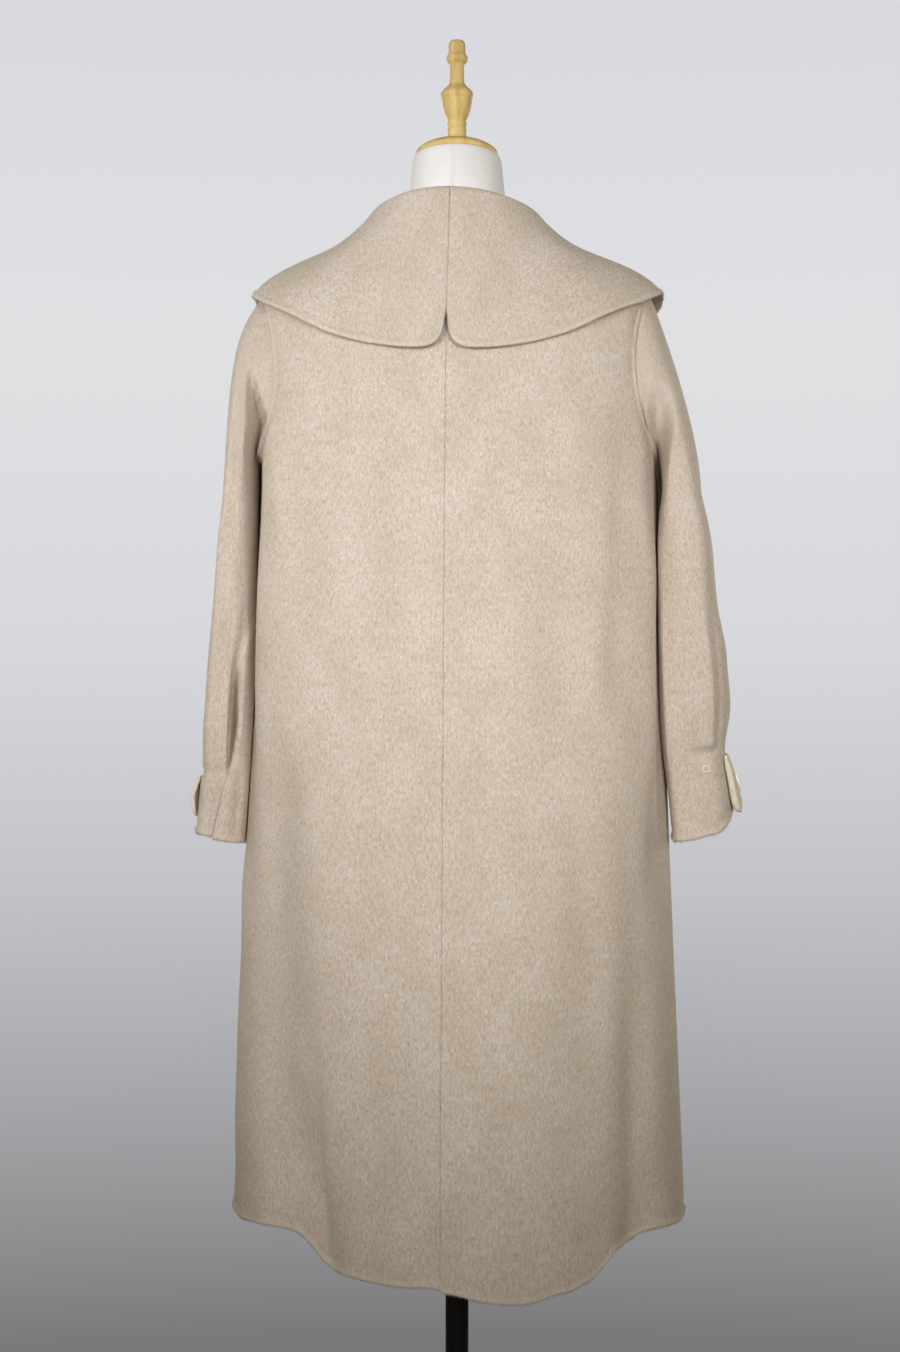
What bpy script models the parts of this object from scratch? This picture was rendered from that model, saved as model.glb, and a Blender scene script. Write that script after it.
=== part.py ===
"""A long wool coat with a wide turn-down collar, hung on a limbless dress form with a turned finial.

Units are metres. +Z is up and the floor is Z = 0, under the centre of the round base.
The coat's front faces -Y, its back faces +Y and the wearer's left is +X.
Every cloth piece is a thin wall between a grid of outer points and a grid of inner points.
"""

import math
from collections import namedtuple

import bmesh
import bpy
import numpy as np

# Cloth and seams
CLOTH = 0.0026
SEAM = 0.0003
REST = 0.0006
LAP = 0.045
TAB_CLOTH = 0.0042

# Levels on the body, read at the side: hem, armhole middle, armhole half height, neckline
HEM = 0.342
ARM_LEVEL = 1.2625
ARM_HALF = 0.0975
NECK = 1.410
ARM_BACK = math.radians(30.0)
ARM_FRONT = math.radians(33.0)
ARM_STEPS = 20
LAP_TOP = 1.385
PANEL_COLUMNS = 11

# Body rings. level, back and front are the heights at the side, centre back and centre front.
# square fills out the corners of a ring, step makes the change of height shorter.
Ring = namedtuple("Ring", "level back front half_width depth_back depth_front square step")
BODY_RINGS = (
    Ring(0.342, 0.2985, 0.326, 0.2495, 0.196, 0.176, 0.01, 1.0),
    Ring(0.500, 0.474, 0.491, 0.2435, 0.190, 0.170, 0.02, 0.7),
    Ring(0.700, 0.690, 0.696, 0.2355, 0.178, 0.162, 0.03, 0.2),
    Ring(0.900, 0.898, 0.898, 0.2280, 0.166, 0.154, 0.05, 0.0),
    Ring(1.060, 1.060, 1.050, 0.2225, 0.155, 0.150, 0.06, 0.0),
    Ring(1.165, 1.165, 1.140, 0.2190, 0.146, 0.146, 0.06, 0.0),
    Ring(1.260, 1.260, 1.205, 0.2170, 0.136, 0.137, 0.06, 0.0),
    Ring(1.325, 1.318, 1.247, 0.2160, 0.121, 0.124, 0.05, 0.0),
    Ring(1.360, 1.345, 1.270, 0.2090, 0.101, 0.107, 0.04, 0.0),
    Ring(1.386, 1.370, 1.290, 0.1440, 0.086, 0.094, 0.02, 0.0),
    Ring(1.410, 1.392, 1.316, 0.0800, 0.068, 0.075, 0.00, 0.0),
)
STEP_START = math.radians(38.5)
STEP_WIDTH = math.radians(22.5)

# Soft folds of the skirt. angle runs from the wearer's left side round the back; depth is at the hem.
Fold = namedtuple("Fold", "angle spread depth fade")
BODY_FOLDS = (
    Fold(54.0, 13.0, -0.042, 0.98),
    Fold(145.0, 8.0, -0.013, 0.98),
    Fold(17.0, 12.0, -0.003, 0.70),
    Fold(163.0, 12.0, 0.0050, 0.70),
    Fold(108.0, 16.0, 0.020, 0.95),
    Fold(74.0, 8.0, -0.006, 0.90),
    Fold(-38.0, 11.0, -0.020, 0.95),
    Fold(-141.0, 11.0, -0.022, 0.90),
    Fold(-62.0, 10.0, 0.006, 0.85),
    Fold(-117.0, 11.0, 0.007, 0.90),
)

# Sleeve rings below the cap. outer and inner are sideways reaches, valley is the pleat behind.
Sleeve = namedtuple("Sleeve", "height outer_left outer_right inner centre_y half_depth valley_left valley_right")
SLEEVE_RINGS = (
    Sleeve(1.130, 0.2535, 0.2695, 0.2224, 0.000, 0.0800, 0.000, 0.000),
    Sleeve(1.080, 0.2605, 0.2785, 0.2240, -0.002, 0.0790, 0.000, 0.000),
    Sleeve(1.014, 0.2665, 0.2855, 0.2263, -0.006, 0.0770, 0.001, 0.000),
    Sleeve(0.948, 0.2735, 0.2975, 0.2286, -0.011, 0.0750, 0.006, 0.001),
    Sleeve(0.900, 0.2775, 0.3005, 0.2303, -0.015, 0.0730, 0.011, 0.002),
    Sleeve(0.848, 0.2825, 0.2955, 0.2326, -0.019, 0.0690, 0.014, 0.004),
    Sleeve(0.800, 0.2880, 0.3010, 0.2355, -0.023, 0.0660, 0.012, 0.003),
    Sleeve(0.752, 0.2940, 0.3060, 0.2390, -0.026, 0.0630, 0.008, 0.002),
)
SLEEVE_SQUARE = 0.18
CAP_FULLNESS_LEFT = 3.5
CAP_FULLNESS_RIGHT = 1.65
SEAM_BACK = math.radians(108.0)
SEAM_FRONT = math.radians(234.0)
VALLEY_SPREAD = math.radians(17.0)
CUFF_RISE_LEFT = 0.004
CUFF_RISE_RIGHT = 0.012
CAP_ROWS = (0.0, 0.05, 0.13, 0.25, 0.42, 0.62, 0.82, 1.0)
SLEEVE_HEIGHTS = (1.085, 1.040, 0.995, 0.955, 0.920, 0.890, 0.866, 0.846, 0.826, 0.804, 0.778, 0.752)

# Collar spokes round the neck, counted from the centre back. Reaches are from the neck's axis.
# sag pulls the fall in below the roll, swell fills it out above the edge.
# left_rise lifts the left half, which sits a little higher on its shoulder.
Spoke = namedtuple("Spoke", "turn roll_reach roll_height edge_reach edge_height sag swell left_rise")
COLLAR_SPOKES = (
    Spoke(0.0, 0.083, 1.4565, 0.1410, 1.2740, 0.000, 0.004, 0.0000),
    Spoke(16.0, 0.085, 1.4545, 0.1460, 1.2740, 0.001, 0.005, 0.0015),
    Spoke(31.0, 0.087, 1.4510, 0.1550, 1.2790, 0.002, 0.007, 0.0025),
    Spoke(46.0, 0.089, 1.4465, 0.1720, 1.2910, 0.004, 0.010, 0.0030),
    Spoke(64.0, 0.091, 1.4405, 0.2000, 1.3195, 0.006, 0.018, 0.0036),
    Spoke(80.0, 0.092, 1.4350, 0.2250, 1.3440, 0.012, 0.020, 0.0042),
    Spoke(90.0, 0.093, 1.4310, 0.2310, 1.3510, 0.018, 0.019, 0.0040),
    Spoke(100.0, 0.094, 1.4240, 0.2275, 1.3450, 0.017, 0.018, 0.0035),
    Spoke(116.0, 0.096, 1.4080, 0.2060, 1.3120, 0.011, 0.014, 0.0015),
    Spoke(135.0, 0.096, 1.3830, 0.1780, 1.2650, 0.005, 0.009, 0.0000),
    Spoke(155.0, 0.095, 1.3540, 0.1590, 1.2270, 0.002, 0.006, 0.0000),
    Spoke(180.0, 0.094, 1.3400, 0.1500, 1.2060, 0.001, 0.004, 0.0000),
)
# How much of the fall is kept near the rounded corners at the back slit and at the front.
Corner = namedtuple("Corner", "turn kept")
COLLAR_CORNERS = (
    Corner(0.0, 0.74),
    Corner(0.8, 0.82),
    Corner(2.1, 0.90),
    Corner(4.2, 0.95),
    Corner(8.0, 0.985),
    Corner(13.0, 1.0),
    Corner(163.0, 1.0),
    Corner(170.0, 0.975),
    Corner(175.0, 0.92),
    Corner(178.0, 0.84),
    Corner(180.0, 0.72),
)
CORNER_TURNS = (0.8, 2.1, 4.2, 13.0, 172.0, 175.5, 178.0)
ROLL_RADIUS = 0.0045
STAND_ROWS = 4
ROLL_ROWS = 4
FALL_ROWS = 7

# Cuff tabs, sewn at the top and standing off below. down runs from the top to the lower end.
Tab = namedtuple("Tab", "down width stand_left stand_right")
TAB_ROWS = (
    Tab(0.00, 0.92, 0.0003, 0.0003),
    Tab(0.12, 0.98, 0.0009, 0.0014),
    Tab(0.30, 1.00, 0.0024, 0.0026),
    Tab(0.55, 1.00, 0.0040, 0.0050),
    Tab(0.80, 0.98, 0.0034, 0.0085),
    Tab(0.93, 0.86, 0.0022, 0.0105),
    Tab(1.00, 0.60, 0.0016, 0.0115),
)
TAB_TOP_LEFT = 0.824
TAB_TOP_RIGHT = 0.832
TAB_HEIGHT_LEFT = 0.062
TAB_HEIGHT_RIGHT = 0.068
TAB_FRONT = math.radians(-14.0)
TAB_BACK = math.radians(34.0)
BUTTON_DOWN = 0.60
BUTTON_RADIUS = 0.0120
BUTTON_THICK = 0.0042
BUTTON_EDGE = 0.0012

# Dress form below the shoulders, bottom to top
Form = namedtuple("Form", "side back front half_width depth_back depth_front")
TORSO_RINGS = (
    Form(0.720, 0.720, 0.720, 0.1480, 0.104, 0.082),
    Form(0.728, 0.728, 0.728, 0.1620, 0.116, 0.092),
    Form(0.750, 0.750, 0.750, 0.1680, 0.121, 0.097),
    Form(0.830, 0.830, 0.830, 0.1690, 0.124, 0.100),
    Form(0.920, 0.920, 0.915, 0.1500, 0.108, 0.092),
    Form(1.015, 1.015, 1.005, 0.1210, 0.082, 0.084),
    Form(1.100, 1.100, 1.075, 0.1360, 0.088, 0.104),
    Form(1.180, 1.180, 1.130, 0.1530, 0.097, 0.120),
    Form(1.250, 1.248, 1.180, 0.1600, 0.101, 0.116),
    Form(1.305, 1.298, 1.215, 0.1680, 0.101, 0.110),
    Form(1.342, 1.330, 1.245, 0.1760, 0.094, 0.103),
)
# Levels of the coat's shoulder that rest on the form, then the neck
SHOULDER_LEVELS = (1.360 + 0.05 / 3.0, 1.360 + 0.05 / 2.0, 1.360 + 0.05 / 1.5)
NECK_RINGS = (
    Form(1.3950, 1.3800, 1.3080, 0.0880, 0.0660, 0.0730),
    Form(1.4030, 1.3920, 1.3380, 0.0680, 0.0580, 0.0620),
    Form(1.4180, 1.4160, 1.3880, 0.0585, 0.0545, 0.0570),
    Form(1.4450, 1.4460, 1.4260, 0.0535, 0.0530, 0.0540),
    Form(1.4740, 1.4760, 1.4620, 0.0500, 0.0500, 0.0505),
    Form(1.5050, 1.5110, 1.4990, 0.0470, 0.0475, 0.0475),
)
FORM_COLUMNS = 4 * (PANEL_COLUMNS - 1)
CAP_RINGS = (
    Form(1.5053, 1.5113, 1.4993, 0.0455, 0.0460, 0.0460),
    Form(1.5080, 1.5140, 1.5020, 0.0462, 0.0468, 0.0468),
    Form(1.5125, 1.5180, 1.5070, 0.0435, 0.0440, 0.0440),
    Form(1.5185, 1.5222, 1.5148, 0.0330, 0.0333, 0.0333),
    Form(1.5212, 1.5230, 1.5194, 0.0230, 0.0230, 0.0230),
    Form(1.5225, 1.5225, 1.5225, 0.0160, 0.0160, 0.0160),
)

# Turned profiles, bottom to top
Turn = namedtuple("Turn", "height radius")
FINIAL = (
    Turn(1.5228, 0.0146), Turn(1.5255, 0.0128), Turn(1.5290, 0.0110), Turn(1.5325, 0.0098), Turn(1.5345, 0.0107),
    Turn(1.5365, 0.0105), Turn(1.5382, 0.0096), Turn(1.5400, 0.0105), Turn(1.5422, 0.0106), Turn(1.5444, 0.0096),
    Turn(1.5478, 0.0110), Turn(1.5590, 0.0146),
    Turn(1.5700, 0.0164), Turn(1.5735, 0.0170), Turn(1.5750, 0.0182), Turn(1.5775, 0.0178), Turn(1.5800, 0.0130),
    Turn(1.5850, 0.0090), Turn(1.5920, 0.0080), Turn(1.6030, 0.0082), Turn(1.6080, 0.0100), Turn(1.6110, 0.0124),
    Turn(1.6145, 0.0122), Turn(1.6180, 0.0096), Turn(1.6260, 0.0094), Turn(1.6330, 0.0078), Turn(1.6360, 0.0040),
)
FINIAL_COLUMNS = 20
POLE_RADIUS = 0.01275
POLE_COLUMNS = 24
POLE_PROFILE = (Turn(0.0123, POLE_RADIUS), Turn(0.7197, POLE_RADIUS))
BASE_PROFILE = (
    Turn(0.0000, 0.1570), Turn(0.0015, 0.1590), Turn(0.0050, 0.1600), Turn(0.0075, 0.1585), Turn(0.0090, 0.1540),
    Turn(0.0105, 0.0900), Turn(0.0120, 0.0300),
)
BASE_COLUMNS = 40

# Colours, linear
WOOL = (0.60, 0.50, 0.38, 1.0)
JERSEY = (0.82, 0.81, 0.78, 1.0)
WOOD = (0.62, 0.43, 0.19, 1.0)
BLACK = (0.006, 0.006, 0.007, 1.0)
BUTTON = (0.74, 0.66, 0.50, 1.0)


# Small helpers for numbers

def smooth(value):
    """Ease from 0 to 1."""
    value = np.clip(value, 0.0, 1.0)
    return value * value * (3.0 - 2.0 * value)


def unit(vectors):
    """Vectors at length one."""
    length = np.linalg.norm(vectors, axis=-1, keepdims=True)
    return vectors / np.maximum(length, 1e-12)


def column_curve(rows, key, name, at):
    """Read one table column at any place, on a smooth curve that does not overshoot."""
    place = np.array([getattr(row, key) for row in rows], dtype=float)
    value = np.array([getattr(row, name) for row in rows], dtype=float)
    at = np.asarray(at, dtype=float)
    width = np.diff(place)
    slope = np.diff(value) / width
    tangent = np.empty_like(value)
    tangent[0] = slope[0]
    tangent[-1] = slope[-1]
    for row in range(1, len(value) - 1):
        before = slope[row - 1]
        after = slope[row]
        tangent[row] = 2.0 * before * after / (before + after) if before * after > 0.0 else 0.0
    span = np.clip(np.searchsorted(place, at) - 1, 0, len(width) - 1)
    step = width[span]
    t = (at - place[span]) / step
    rise = value[span] * (2 * t ** 3 - 3 * t ** 2 + 1) + value[span + 1] * (3 * t ** 2 - 2 * t ** 3)
    lean = tangent[span] * (t ** 3 - 2 * t ** 2 + t) + tangent[span + 1] * (t ** 3 - t ** 2)
    return rise + step * lean


def points(x, y, z):
    """Stack coordinates into an array of points."""
    return np.stack(np.broadcast_arrays(x, y, z), axis=-1)


# Coat body as one surface: theta turns from the wearer's left round the back

def body(theta, level):
    """Outer surface of the coat body."""
    theta, level = np.broadcast_arrays(np.asarray(theta, dtype=float), np.asarray(level, dtype=float))

    def column(name):
        return column_curve(BODY_RINGS, "level", name, level)

    across = np.cos(theta)
    along = np.sin(theta)
    is_back = along >= 0.0
    depth = np.where(is_back, column("depth_back"), column("depth_front"))
    end = np.where(is_back, column("back"), column("front"))
    full = 1.0 + column("square") * np.sin(2.0 * theta) ** 2
    turned_in = np.arcsin(np.clip(np.abs(along), 0.0, 1.0))
    step = column("step")
    change = (1.0 - step) * np.abs(along) ** 3 + step * smooth((turned_in - STEP_START) / STEP_WIDTH)
    height = level + (end - level) * change
    push = np.zeros_like(level)
    for fold in BODY_FOLDS:
        turn = (theta - math.radians(fold.angle) + math.pi) % (2.0 * math.pi) - math.pi
        near = np.exp(-(turn / math.radians(fold.spread)) ** 2)
        push = push + fold.depth * near * smooth((fold.fade - level) / (fold.fade - HEM)) ** 1.3
    return points(across * (column("half_width") * full + push), along * (depth * full + push), height)


def body_slopes(theta, level):
    """Surface directions round and up the body."""
    step = 1e-4
    round_way = (body(theta + step, level) - body(theta - step, level)) / (2.0 * step)
    up_way = (body(theta, level + step) - body(theta, level - step)) / (2.0 * step)
    return round_way, up_way


def body_normal(theta, level):
    """Outward direction of the body."""
    round_way, up_way = body_slopes(theta, level)
    return unit(np.cross(round_way, up_way))


def side_angle(side, theta):
    """Angle on the left side, or its mirror image on the right."""
    return theta if side > 0 else math.pi - theta


def half_gap_angle(theta, level):
    """Angle that makes half a seam gap."""
    round_way, _ = body_slopes(theta, level)
    return 0.5 * SEAM / np.linalg.norm(round_way, axis=-1)


# Neckline seam, shared by the body and the collar

def neck_seam(theta):
    """Seam point, wall direction and the way into the collar."""
    theta = np.asarray(theta, dtype=float)
    level = np.full_like(theta, NECK)
    place = body(theta, level)
    outward = unit(place * np.array([1.0, 1.0, 0.0]))
    normal = unit(body_normal(theta, level) + outward)
    round_way, up_way = body_slopes(theta, level)
    onward = unit(np.cross(normal, round_way))
    facing = np.sign(np.sum(onward * up_way, axis=-1, keepdims=True))
    return place, normal, onward * facing


def neck_nodes():
    """Seam values at the panels' own columns, from the centre back round the left side."""
    return neck_seam(np.linspace(0.5 * math.pi, -0.5 * math.pi, 2 * PANEL_COLUMNS - 1))


def neck_edge(turn):
    """Seam values at one turn from the centre back, on the straight edge between two columns."""
    place, normal, onward = neck_nodes()
    node_turn = np.arctan2(place[:, 0], place[:, 1])
    here = min(max(int(np.searchsorted(node_turn, turn)) - 1, 0), len(place) - 2)
    ray = np.array([math.cos(turn), -math.sin(turn), 0.0])
    first = float(place[here] @ ray)
    last = float(place[here + 1] @ ray)
    share = first / (first - last)

    def between(values):
        return values[here] * (1.0 - share) + values[here + 1] * share

    return between(place), unit(between(normal)), unit(between(onward))


# Sleeves: phi turns from the outer side round the back

def armhole_angles(side, phi):
    """Body angle and level of the armhole loop."""
    along = np.sin(phi)
    turn = along * np.where(along >= 0.0, ARM_BACK, ARM_FRONT)
    return side_angle(side, turn), ARM_LEVEL + ARM_HALF * np.cos(phi)


def armhole(side, phi):
    """Armhole loop on the body."""
    theta, level = armhole_angles(side, phi)
    return body(theta, level)


def sleeve_ring(side, phi, height):
    """One ring of the hanging sleeve."""
    phi, height = np.broadcast_arrays(np.asarray(phi, dtype=float), np.asarray(height, dtype=float))

    def column(name):
        return column_curve(SLEEVE_RINGS[::-1], "height", name, height)

    outer = column("outer_left" if side > 0 else "outer_right")
    valley = column("valley_left" if side > 0 else "valley_right")
    inner = column("inner")
    full = 1.0 + SLEEVE_SQUARE * np.sin(2.0 * phi) ** 2
    turn = (phi - SEAM_BACK + math.pi) % (2.0 * math.pi) - math.pi
    pull = valley * np.exp(-(turn / VALLEY_SPREAD) ** 2)
    rise = CUFF_RISE_LEFT if side > 0 else CUFF_RISE_RIGHT
    lift = rise * smooth((0.90 - height) / 0.15) * smooth(0.5 + 0.5 * np.cos(phi))
    x = 0.5 * (outer + inner) + 0.5 * (outer - inner) * np.cos(phi) * full
    y = column("centre_y") + (column("half_depth") * full - pull) * np.sin(phi)
    return points(side * x, y, height + lift)


def sleeve(side, phi, fall):
    """Outer surface of a sleeve: fall 0 to 1 is the cap, 1 to 2 the hanging part."""
    phi, fall = np.broadcast_arrays(np.asarray(phi, dtype=float), np.asarray(fall, dtype=float))
    top = SLEEVE_RINGS[0].height
    cuff = SLEEVE_RINGS[-1].height
    cap = np.clip(fall, -0.01, 1.0)
    height = top + (cuff - top) * np.clip(fall - 1.0, 0.0, 1.01)
    ring = sleeve_ring(side, phi, height)
    fullness = CAP_FULLNESS_LEFT if side > 0 else CAP_FULLNESS_RIGHT
    spread = 1.0 - (1.0 - cap) ** fullness
    blend = points(spread, spread, cap)
    return armhole(side, phi) * (1.0 - blend) + ring * blend


def hang(height):
    """Fall of a height on the hanging part of a sleeve."""
    top = SLEEVE_RINGS[0].height
    cuff = SLEEVE_RINGS[-1].height
    return 1.0 + (top - height) / (top - cuff)


def sleeve_slopes(side, phi, fall):
    """Surface directions round and down a sleeve."""
    step = 1e-4
    round_way = (sleeve(side, phi + step, fall) - sleeve(side, phi - step, fall)) / (2.0 * step)
    down_way = (sleeve(side, phi, fall + step) - sleeve(side, phi, fall - step)) / (2.0 * step)
    return round_way, down_way


def sleeve_normal(side, phi, fall):
    """Outward direction of a sleeve."""
    round_way, down_way = sleeve_slopes(side, phi, fall)
    return unit(np.cross(down_way, round_way)) * side


def armhole_seam(side, phi):
    """Seam point, wall direction and the way into the sleeve."""
    phi = np.asarray(phi, dtype=float)
    theta, level = armhole_angles(side, phi)
    start = np.zeros_like(phi)
    normal = unit(body_normal(theta, level) + sleeve_normal(side, phi, start))
    round_way, down_way = sleeve_slopes(side, phi, start)
    onward = unit(np.cross(normal, round_way))
    facing = np.sign(np.sum(onward * unit(down_way), axis=-1, keepdims=True))
    return body(theta, level), normal, onward * facing


# Walls and meshes

def new_object(name, mesh_builder, colour, roughness):
    """Make a named object with its own material from a filled bmesh."""
    mesh = bpy.data.meshes.new(name)
    builder = bmesh.new()
    mesh_builder(builder)
    bmesh.ops.recalc_face_normals(builder, faces=builder.faces[:])
    builder.to_mesh(mesh)
    builder.free()
    thing = bpy.data.objects.new(name, mesh)
    bpy.context.scene.collection.objects.link(thing)
    material = bpy.data.materials.new(name + "_material")
    material.use_nodes = True
    shader = material.node_tree.nodes["Principled BSDF"]
    shader.inputs["Base Color"].default_value = colour
    shader.inputs["Roughness"].default_value = roughness
    mesh.materials.append(material)
    return thing


def wall(name, outer, inner, colour=WOOL):
    """Cloth piece between two grids of points."""

    def fill(builder):
        rows, columns = outer.shape[:2]
        skins = []
        for grid in (outer, inner):
            skins.append([[builder.verts.new(grid[row, column]) for column in range(columns)] for row in range(rows)])
        face_out, face_in = skins
        for row in range(rows - 1):
            for column in range(columns - 1):
                for skin in skins:
                    builder.faces.new((skin[row][column], skin[row][column + 1],
                                       skin[row + 1][column + 1], skin[row + 1][column]))
        edge = [(0, column) for column in range(columns)]
        edge += [(row, columns - 1) for row in range(1, rows)]
        edge += [(rows - 1, column) for column in range(columns - 2, -1, -1)]
        edge += [(row, 0) for row in range(rows - 2, 0, -1)]
        for here, there in zip(edge, edge[1:] + edge[:1]):
            builder.faces.new((face_out[here[0]][here[1]], face_out[there[0]][there[1]],
                               face_in[there[0]][there[1]], face_in[here[0]][here[1]]))
        bmesh.ops.triangulate(builder, faces=builder.faces[:], quad_method="SHORT_EDGE")

    return new_object(name, fill, colour, 0.95)


def stack_of_rings(name, rings, colour, roughness):
    """Solid skinned over closed rings, flat at both ends."""

    def fill(builder):
        loops = [[builder.verts.new(point) for point in ring] for ring in rings]
        count = len(loops[0])
        for low, high in zip(loops, loops[1:]):
            for column in range(count):
                after = (column + 1) % count
                builder.faces.new((low[column], low[after], high[after], high[column]))
        builder.faces.new(loops[0])
        builder.faces.new(loops[-1])
        bmesh.ops.triangulate(builder, faces=builder.faces[:], quad_method="SHORT_EDGE")

    return new_object(name, fill, colour, roughness)


def turned(name, profile, columns, colour, roughness):
    """Turned solid from a table of heights and radii."""
    angles = np.linspace(0.0, 2.0 * math.pi, columns, endpoint=False)
    rings = [points(turn.radius * np.cos(angles), turn.radius * np.sin(angles), turn.height) for turn in profile]
    return stack_of_rings(name, rings, colour, roughness)


# Coat panels

def body_rows():
    """Levels of the panel rows, and which of them lie on the armhole."""
    low = np.linspace(HEM, ARM_LEVEL - ARM_HALF, 12)[:-1]
    phi = np.linspace(math.pi, 0.0, ARM_STEPS // 2 + 1)
    high = ARM_LEVEL + ARM_HALF
    shoulder = high + (NECK - high) * np.linspace(0.0, 1.0, 7)[1:]
    levels = np.concatenate([low, ARM_LEVEL + ARM_HALF * np.cos(phi), shoulder])
    return levels, len(low), phi


def lap_angle(theta, level):
    """How far a front passes the centre front, as an angle."""
    round_way, _ = body_slopes(theta, level)
    width = LAP * smooth((LAP_TOP - level) / 0.09)
    return width / np.linalg.norm(round_way, axis=-1)


def panel(name, side, is_back):
    """A back or front panel from its side seam to the centre."""
    levels, first_arm, phi = body_rows()
    limit = ARM_BACK if is_back else ARM_FRONT
    way = 1.0 if is_back else -1.0
    arm_rows = np.arange(first_arm, first_arm + len(phi))
    start = np.zeros_like(levels)
    start[arm_rows] = limit * np.sin(phi)
    start = start + half_gap_angle(way * start, levels)
    finish = np.full_like(levels, 0.5 * math.pi)
    finish = finish - half_gap_angle(way * finish, levels)
    if not is_back:
        finish = finish + lap_angle(-finish, levels)
    fractions = np.linspace(0.0, 1.0, PANEL_COLUMNS)
    own = way * (start[:, None] + (finish - start)[:, None] * fractions[None, :])
    theta = side_angle(side, own)
    grid_level = np.broadcast_to(levels[:, None], theta.shape)
    outer = body(theta, grid_level)
    normal = body_normal(theta, grid_level)
    normal[-1] = neck_seam(theta[-1])[1]
    own_phi = phi if is_back else 2.0 * math.pi - phi
    normal[arm_rows, 0] = armhole_seam(side, own_phi)[1]
    if not is_back and side < 0:
        round_way, _ = body_slopes(theta, grid_level)
        past = (-own - 0.5 * math.pi) * np.linalg.norm(round_way, axis=-1)
        lift = smooth((past + LAP + 0.060) / 0.052) * smooth((NECK - grid_level) / (NECK - LAP_TOP))
        outer = outer + normal * ((CLOTH + 4.0 * SEAM) * lift)[..., None]
    return wall(name, outer, outer - CLOTH * normal)


def sleeve_piece(name, side, first, last):
    """A sleeve piece between its two long seams, counted in armhole steps."""
    phi_row = np.arange(first, last + 1) * (2.0 * math.pi / ARM_STEPS)
    falls = np.concatenate([np.array(CAP_ROWS), hang(np.array(SLEEVE_HEIGHTS))])
    phi, fall = np.meshgrid(phi_row, falls)
    round_way, _ = sleeve_slopes(side, phi, fall)
    trim = 0.5 * SEAM / np.linalg.norm(round_way, axis=-1)
    phi = phi.copy()
    phi[:, 0] += trim[:, 0]
    phi[:, -1] -= trim[:, -1]
    outer = sleeve(side, phi, fall)
    normal = sleeve_normal(side, phi, fall)
    _, seam_normal, onward = armhole_seam(side, phi[0])
    outer[0] = outer[0] + SEAM * onward
    normal[0] = seam_normal
    return wall(name, outer, outer - CLOTH * normal)


# Collar

def collar_profile(turn, side):
    """One section of the collar's under side, from the neck seam over the roll to the edge."""
    def column(name):
        return float(column_curve(COLLAR_SPOKES, "turn", name, turn))

    angle = math.radians(turn)
    place, normal, onward = neck_edge(angle)
    start = place + SEAM * onward
    outward = np.array([math.sin(angle), math.cos(angle), 0.0])
    reach = float(start @ outward)
    rise = column("left_rise") if side > 0 else 0.0
    centre = np.array([column("roll_reach"), column("roll_height") + rise - CLOTH - ROLL_RADIUS])
    edge = np.array([column("edge_reach"), column("edge_height") + rise])
    span = edge - centre
    outside = np.array([-span[1], span[0]]) / np.linalg.norm(span)
    upper = centre + span / 3.0 - column("sag") * outside
    lower = edge - span / 3.0 + column("swell") * outside
    fall_way = upper - centre - np.array([0.0, ROLL_RADIUS])
    leave = 0.5 * math.pi + math.atan2(fall_way[1], fall_way[0])
    foot = np.array([reach, start[2]])
    roll_start = centre + np.array([-ROLL_RADIUS, 0.0])
    stand = roll_start[1] - foot[1]
    steps = []
    for row in range(STAND_ROWS):
        t = row / STAND_ROWS
        pull = foot + np.array([-0.10 * stand, 0.45 * stand])
        steps.append(foot * (1 - t) ** 2 + pull * 2 * t * (1 - t) + roll_start * t ** 2)
    for row in range(ROLL_ROWS):
        arc = math.pi + (leave - math.pi) * row / ROLL_ROWS
        steps.append(centre + ROLL_RADIUS * np.array([math.cos(arc), math.sin(arc)]))
    roll_end = centre + ROLL_RADIUS * np.array([math.cos(leave), math.sin(leave)])
    kept = float(column_curve(COLLAR_CORNERS, "turn", "kept", turn))
    for row in range(FALL_ROWS + 1):
        t = kept * row / FALL_ROWS
        near = roll_end * (1 - t) ** 3 + upper * 3 * t * (1 - t) ** 2
        steps.append(near + lower * 3 * t ** 2 * (1 - t) + edge * t ** 3)
    section = np.array([outward * step[0] + np.array([0.0, 0.0, step[1]]) for step in steps])
    section[0] = start
    return section, normal


def collar_half(name, side):
    """One half of the collar, from the centre back to the centre front."""
    place, _, _ = neck_nodes()
    turns = np.degrees(np.arctan2(place[:, 0], place[:, 1]))
    turns = np.sort(np.concatenate([np.clip(turns, 0.0, 180.0), CORNER_TURNS]))
    sections = [collar_profile(float(turn), side) for turn in turns]
    under = np.stack([section for section, _ in sections], axis=1)
    along = np.gradient(under, axis=0)
    round_way = np.gradient(under, axis=1)
    normal = unit(np.cross(round_way, along))
    normal[0] = np.stack([seam for _, seam in sections])
    if np.sum(normal[1, 0] * under[1, 0] * np.array([1.0, 1.0, 0.0])) < 0.0:
        normal[1:] = -normal[1:]
    normal[:, (0, -1), 0] = 0.0
    normal = unit(normal)
    under[:, (0, -1), 0] = 0.5 * SEAM
    face = under - CLOTH * normal
    face[:, 1:-1, 0] = np.maximum(face[:, 1:-1, 0], 0.5 * SEAM)
    mirror = np.array([float(side), 1.0, 1.0])
    return wall(name, under * mirror, face * mirror)


# Cuff tabs and buttons

def tab_place(side, down, across):
    """Sleeve point and direction under a tab."""
    top = TAB_TOP_LEFT if side > 0 else TAB_TOP_RIGHT
    height = TAB_HEIGHT_LEFT if side > 0 else TAB_HEIGHT_RIGHT
    fall = hang(top - height * down)
    return sleeve(side, across, fall), sleeve_normal(side, across, fall)


def tab_stand(side, down):
    """How far a tab stands off the sleeve."""
    return SEAM + column_curve(TAB_ROWS, "down", "stand_left" if side > 0 else "stand_right", down)


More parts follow.
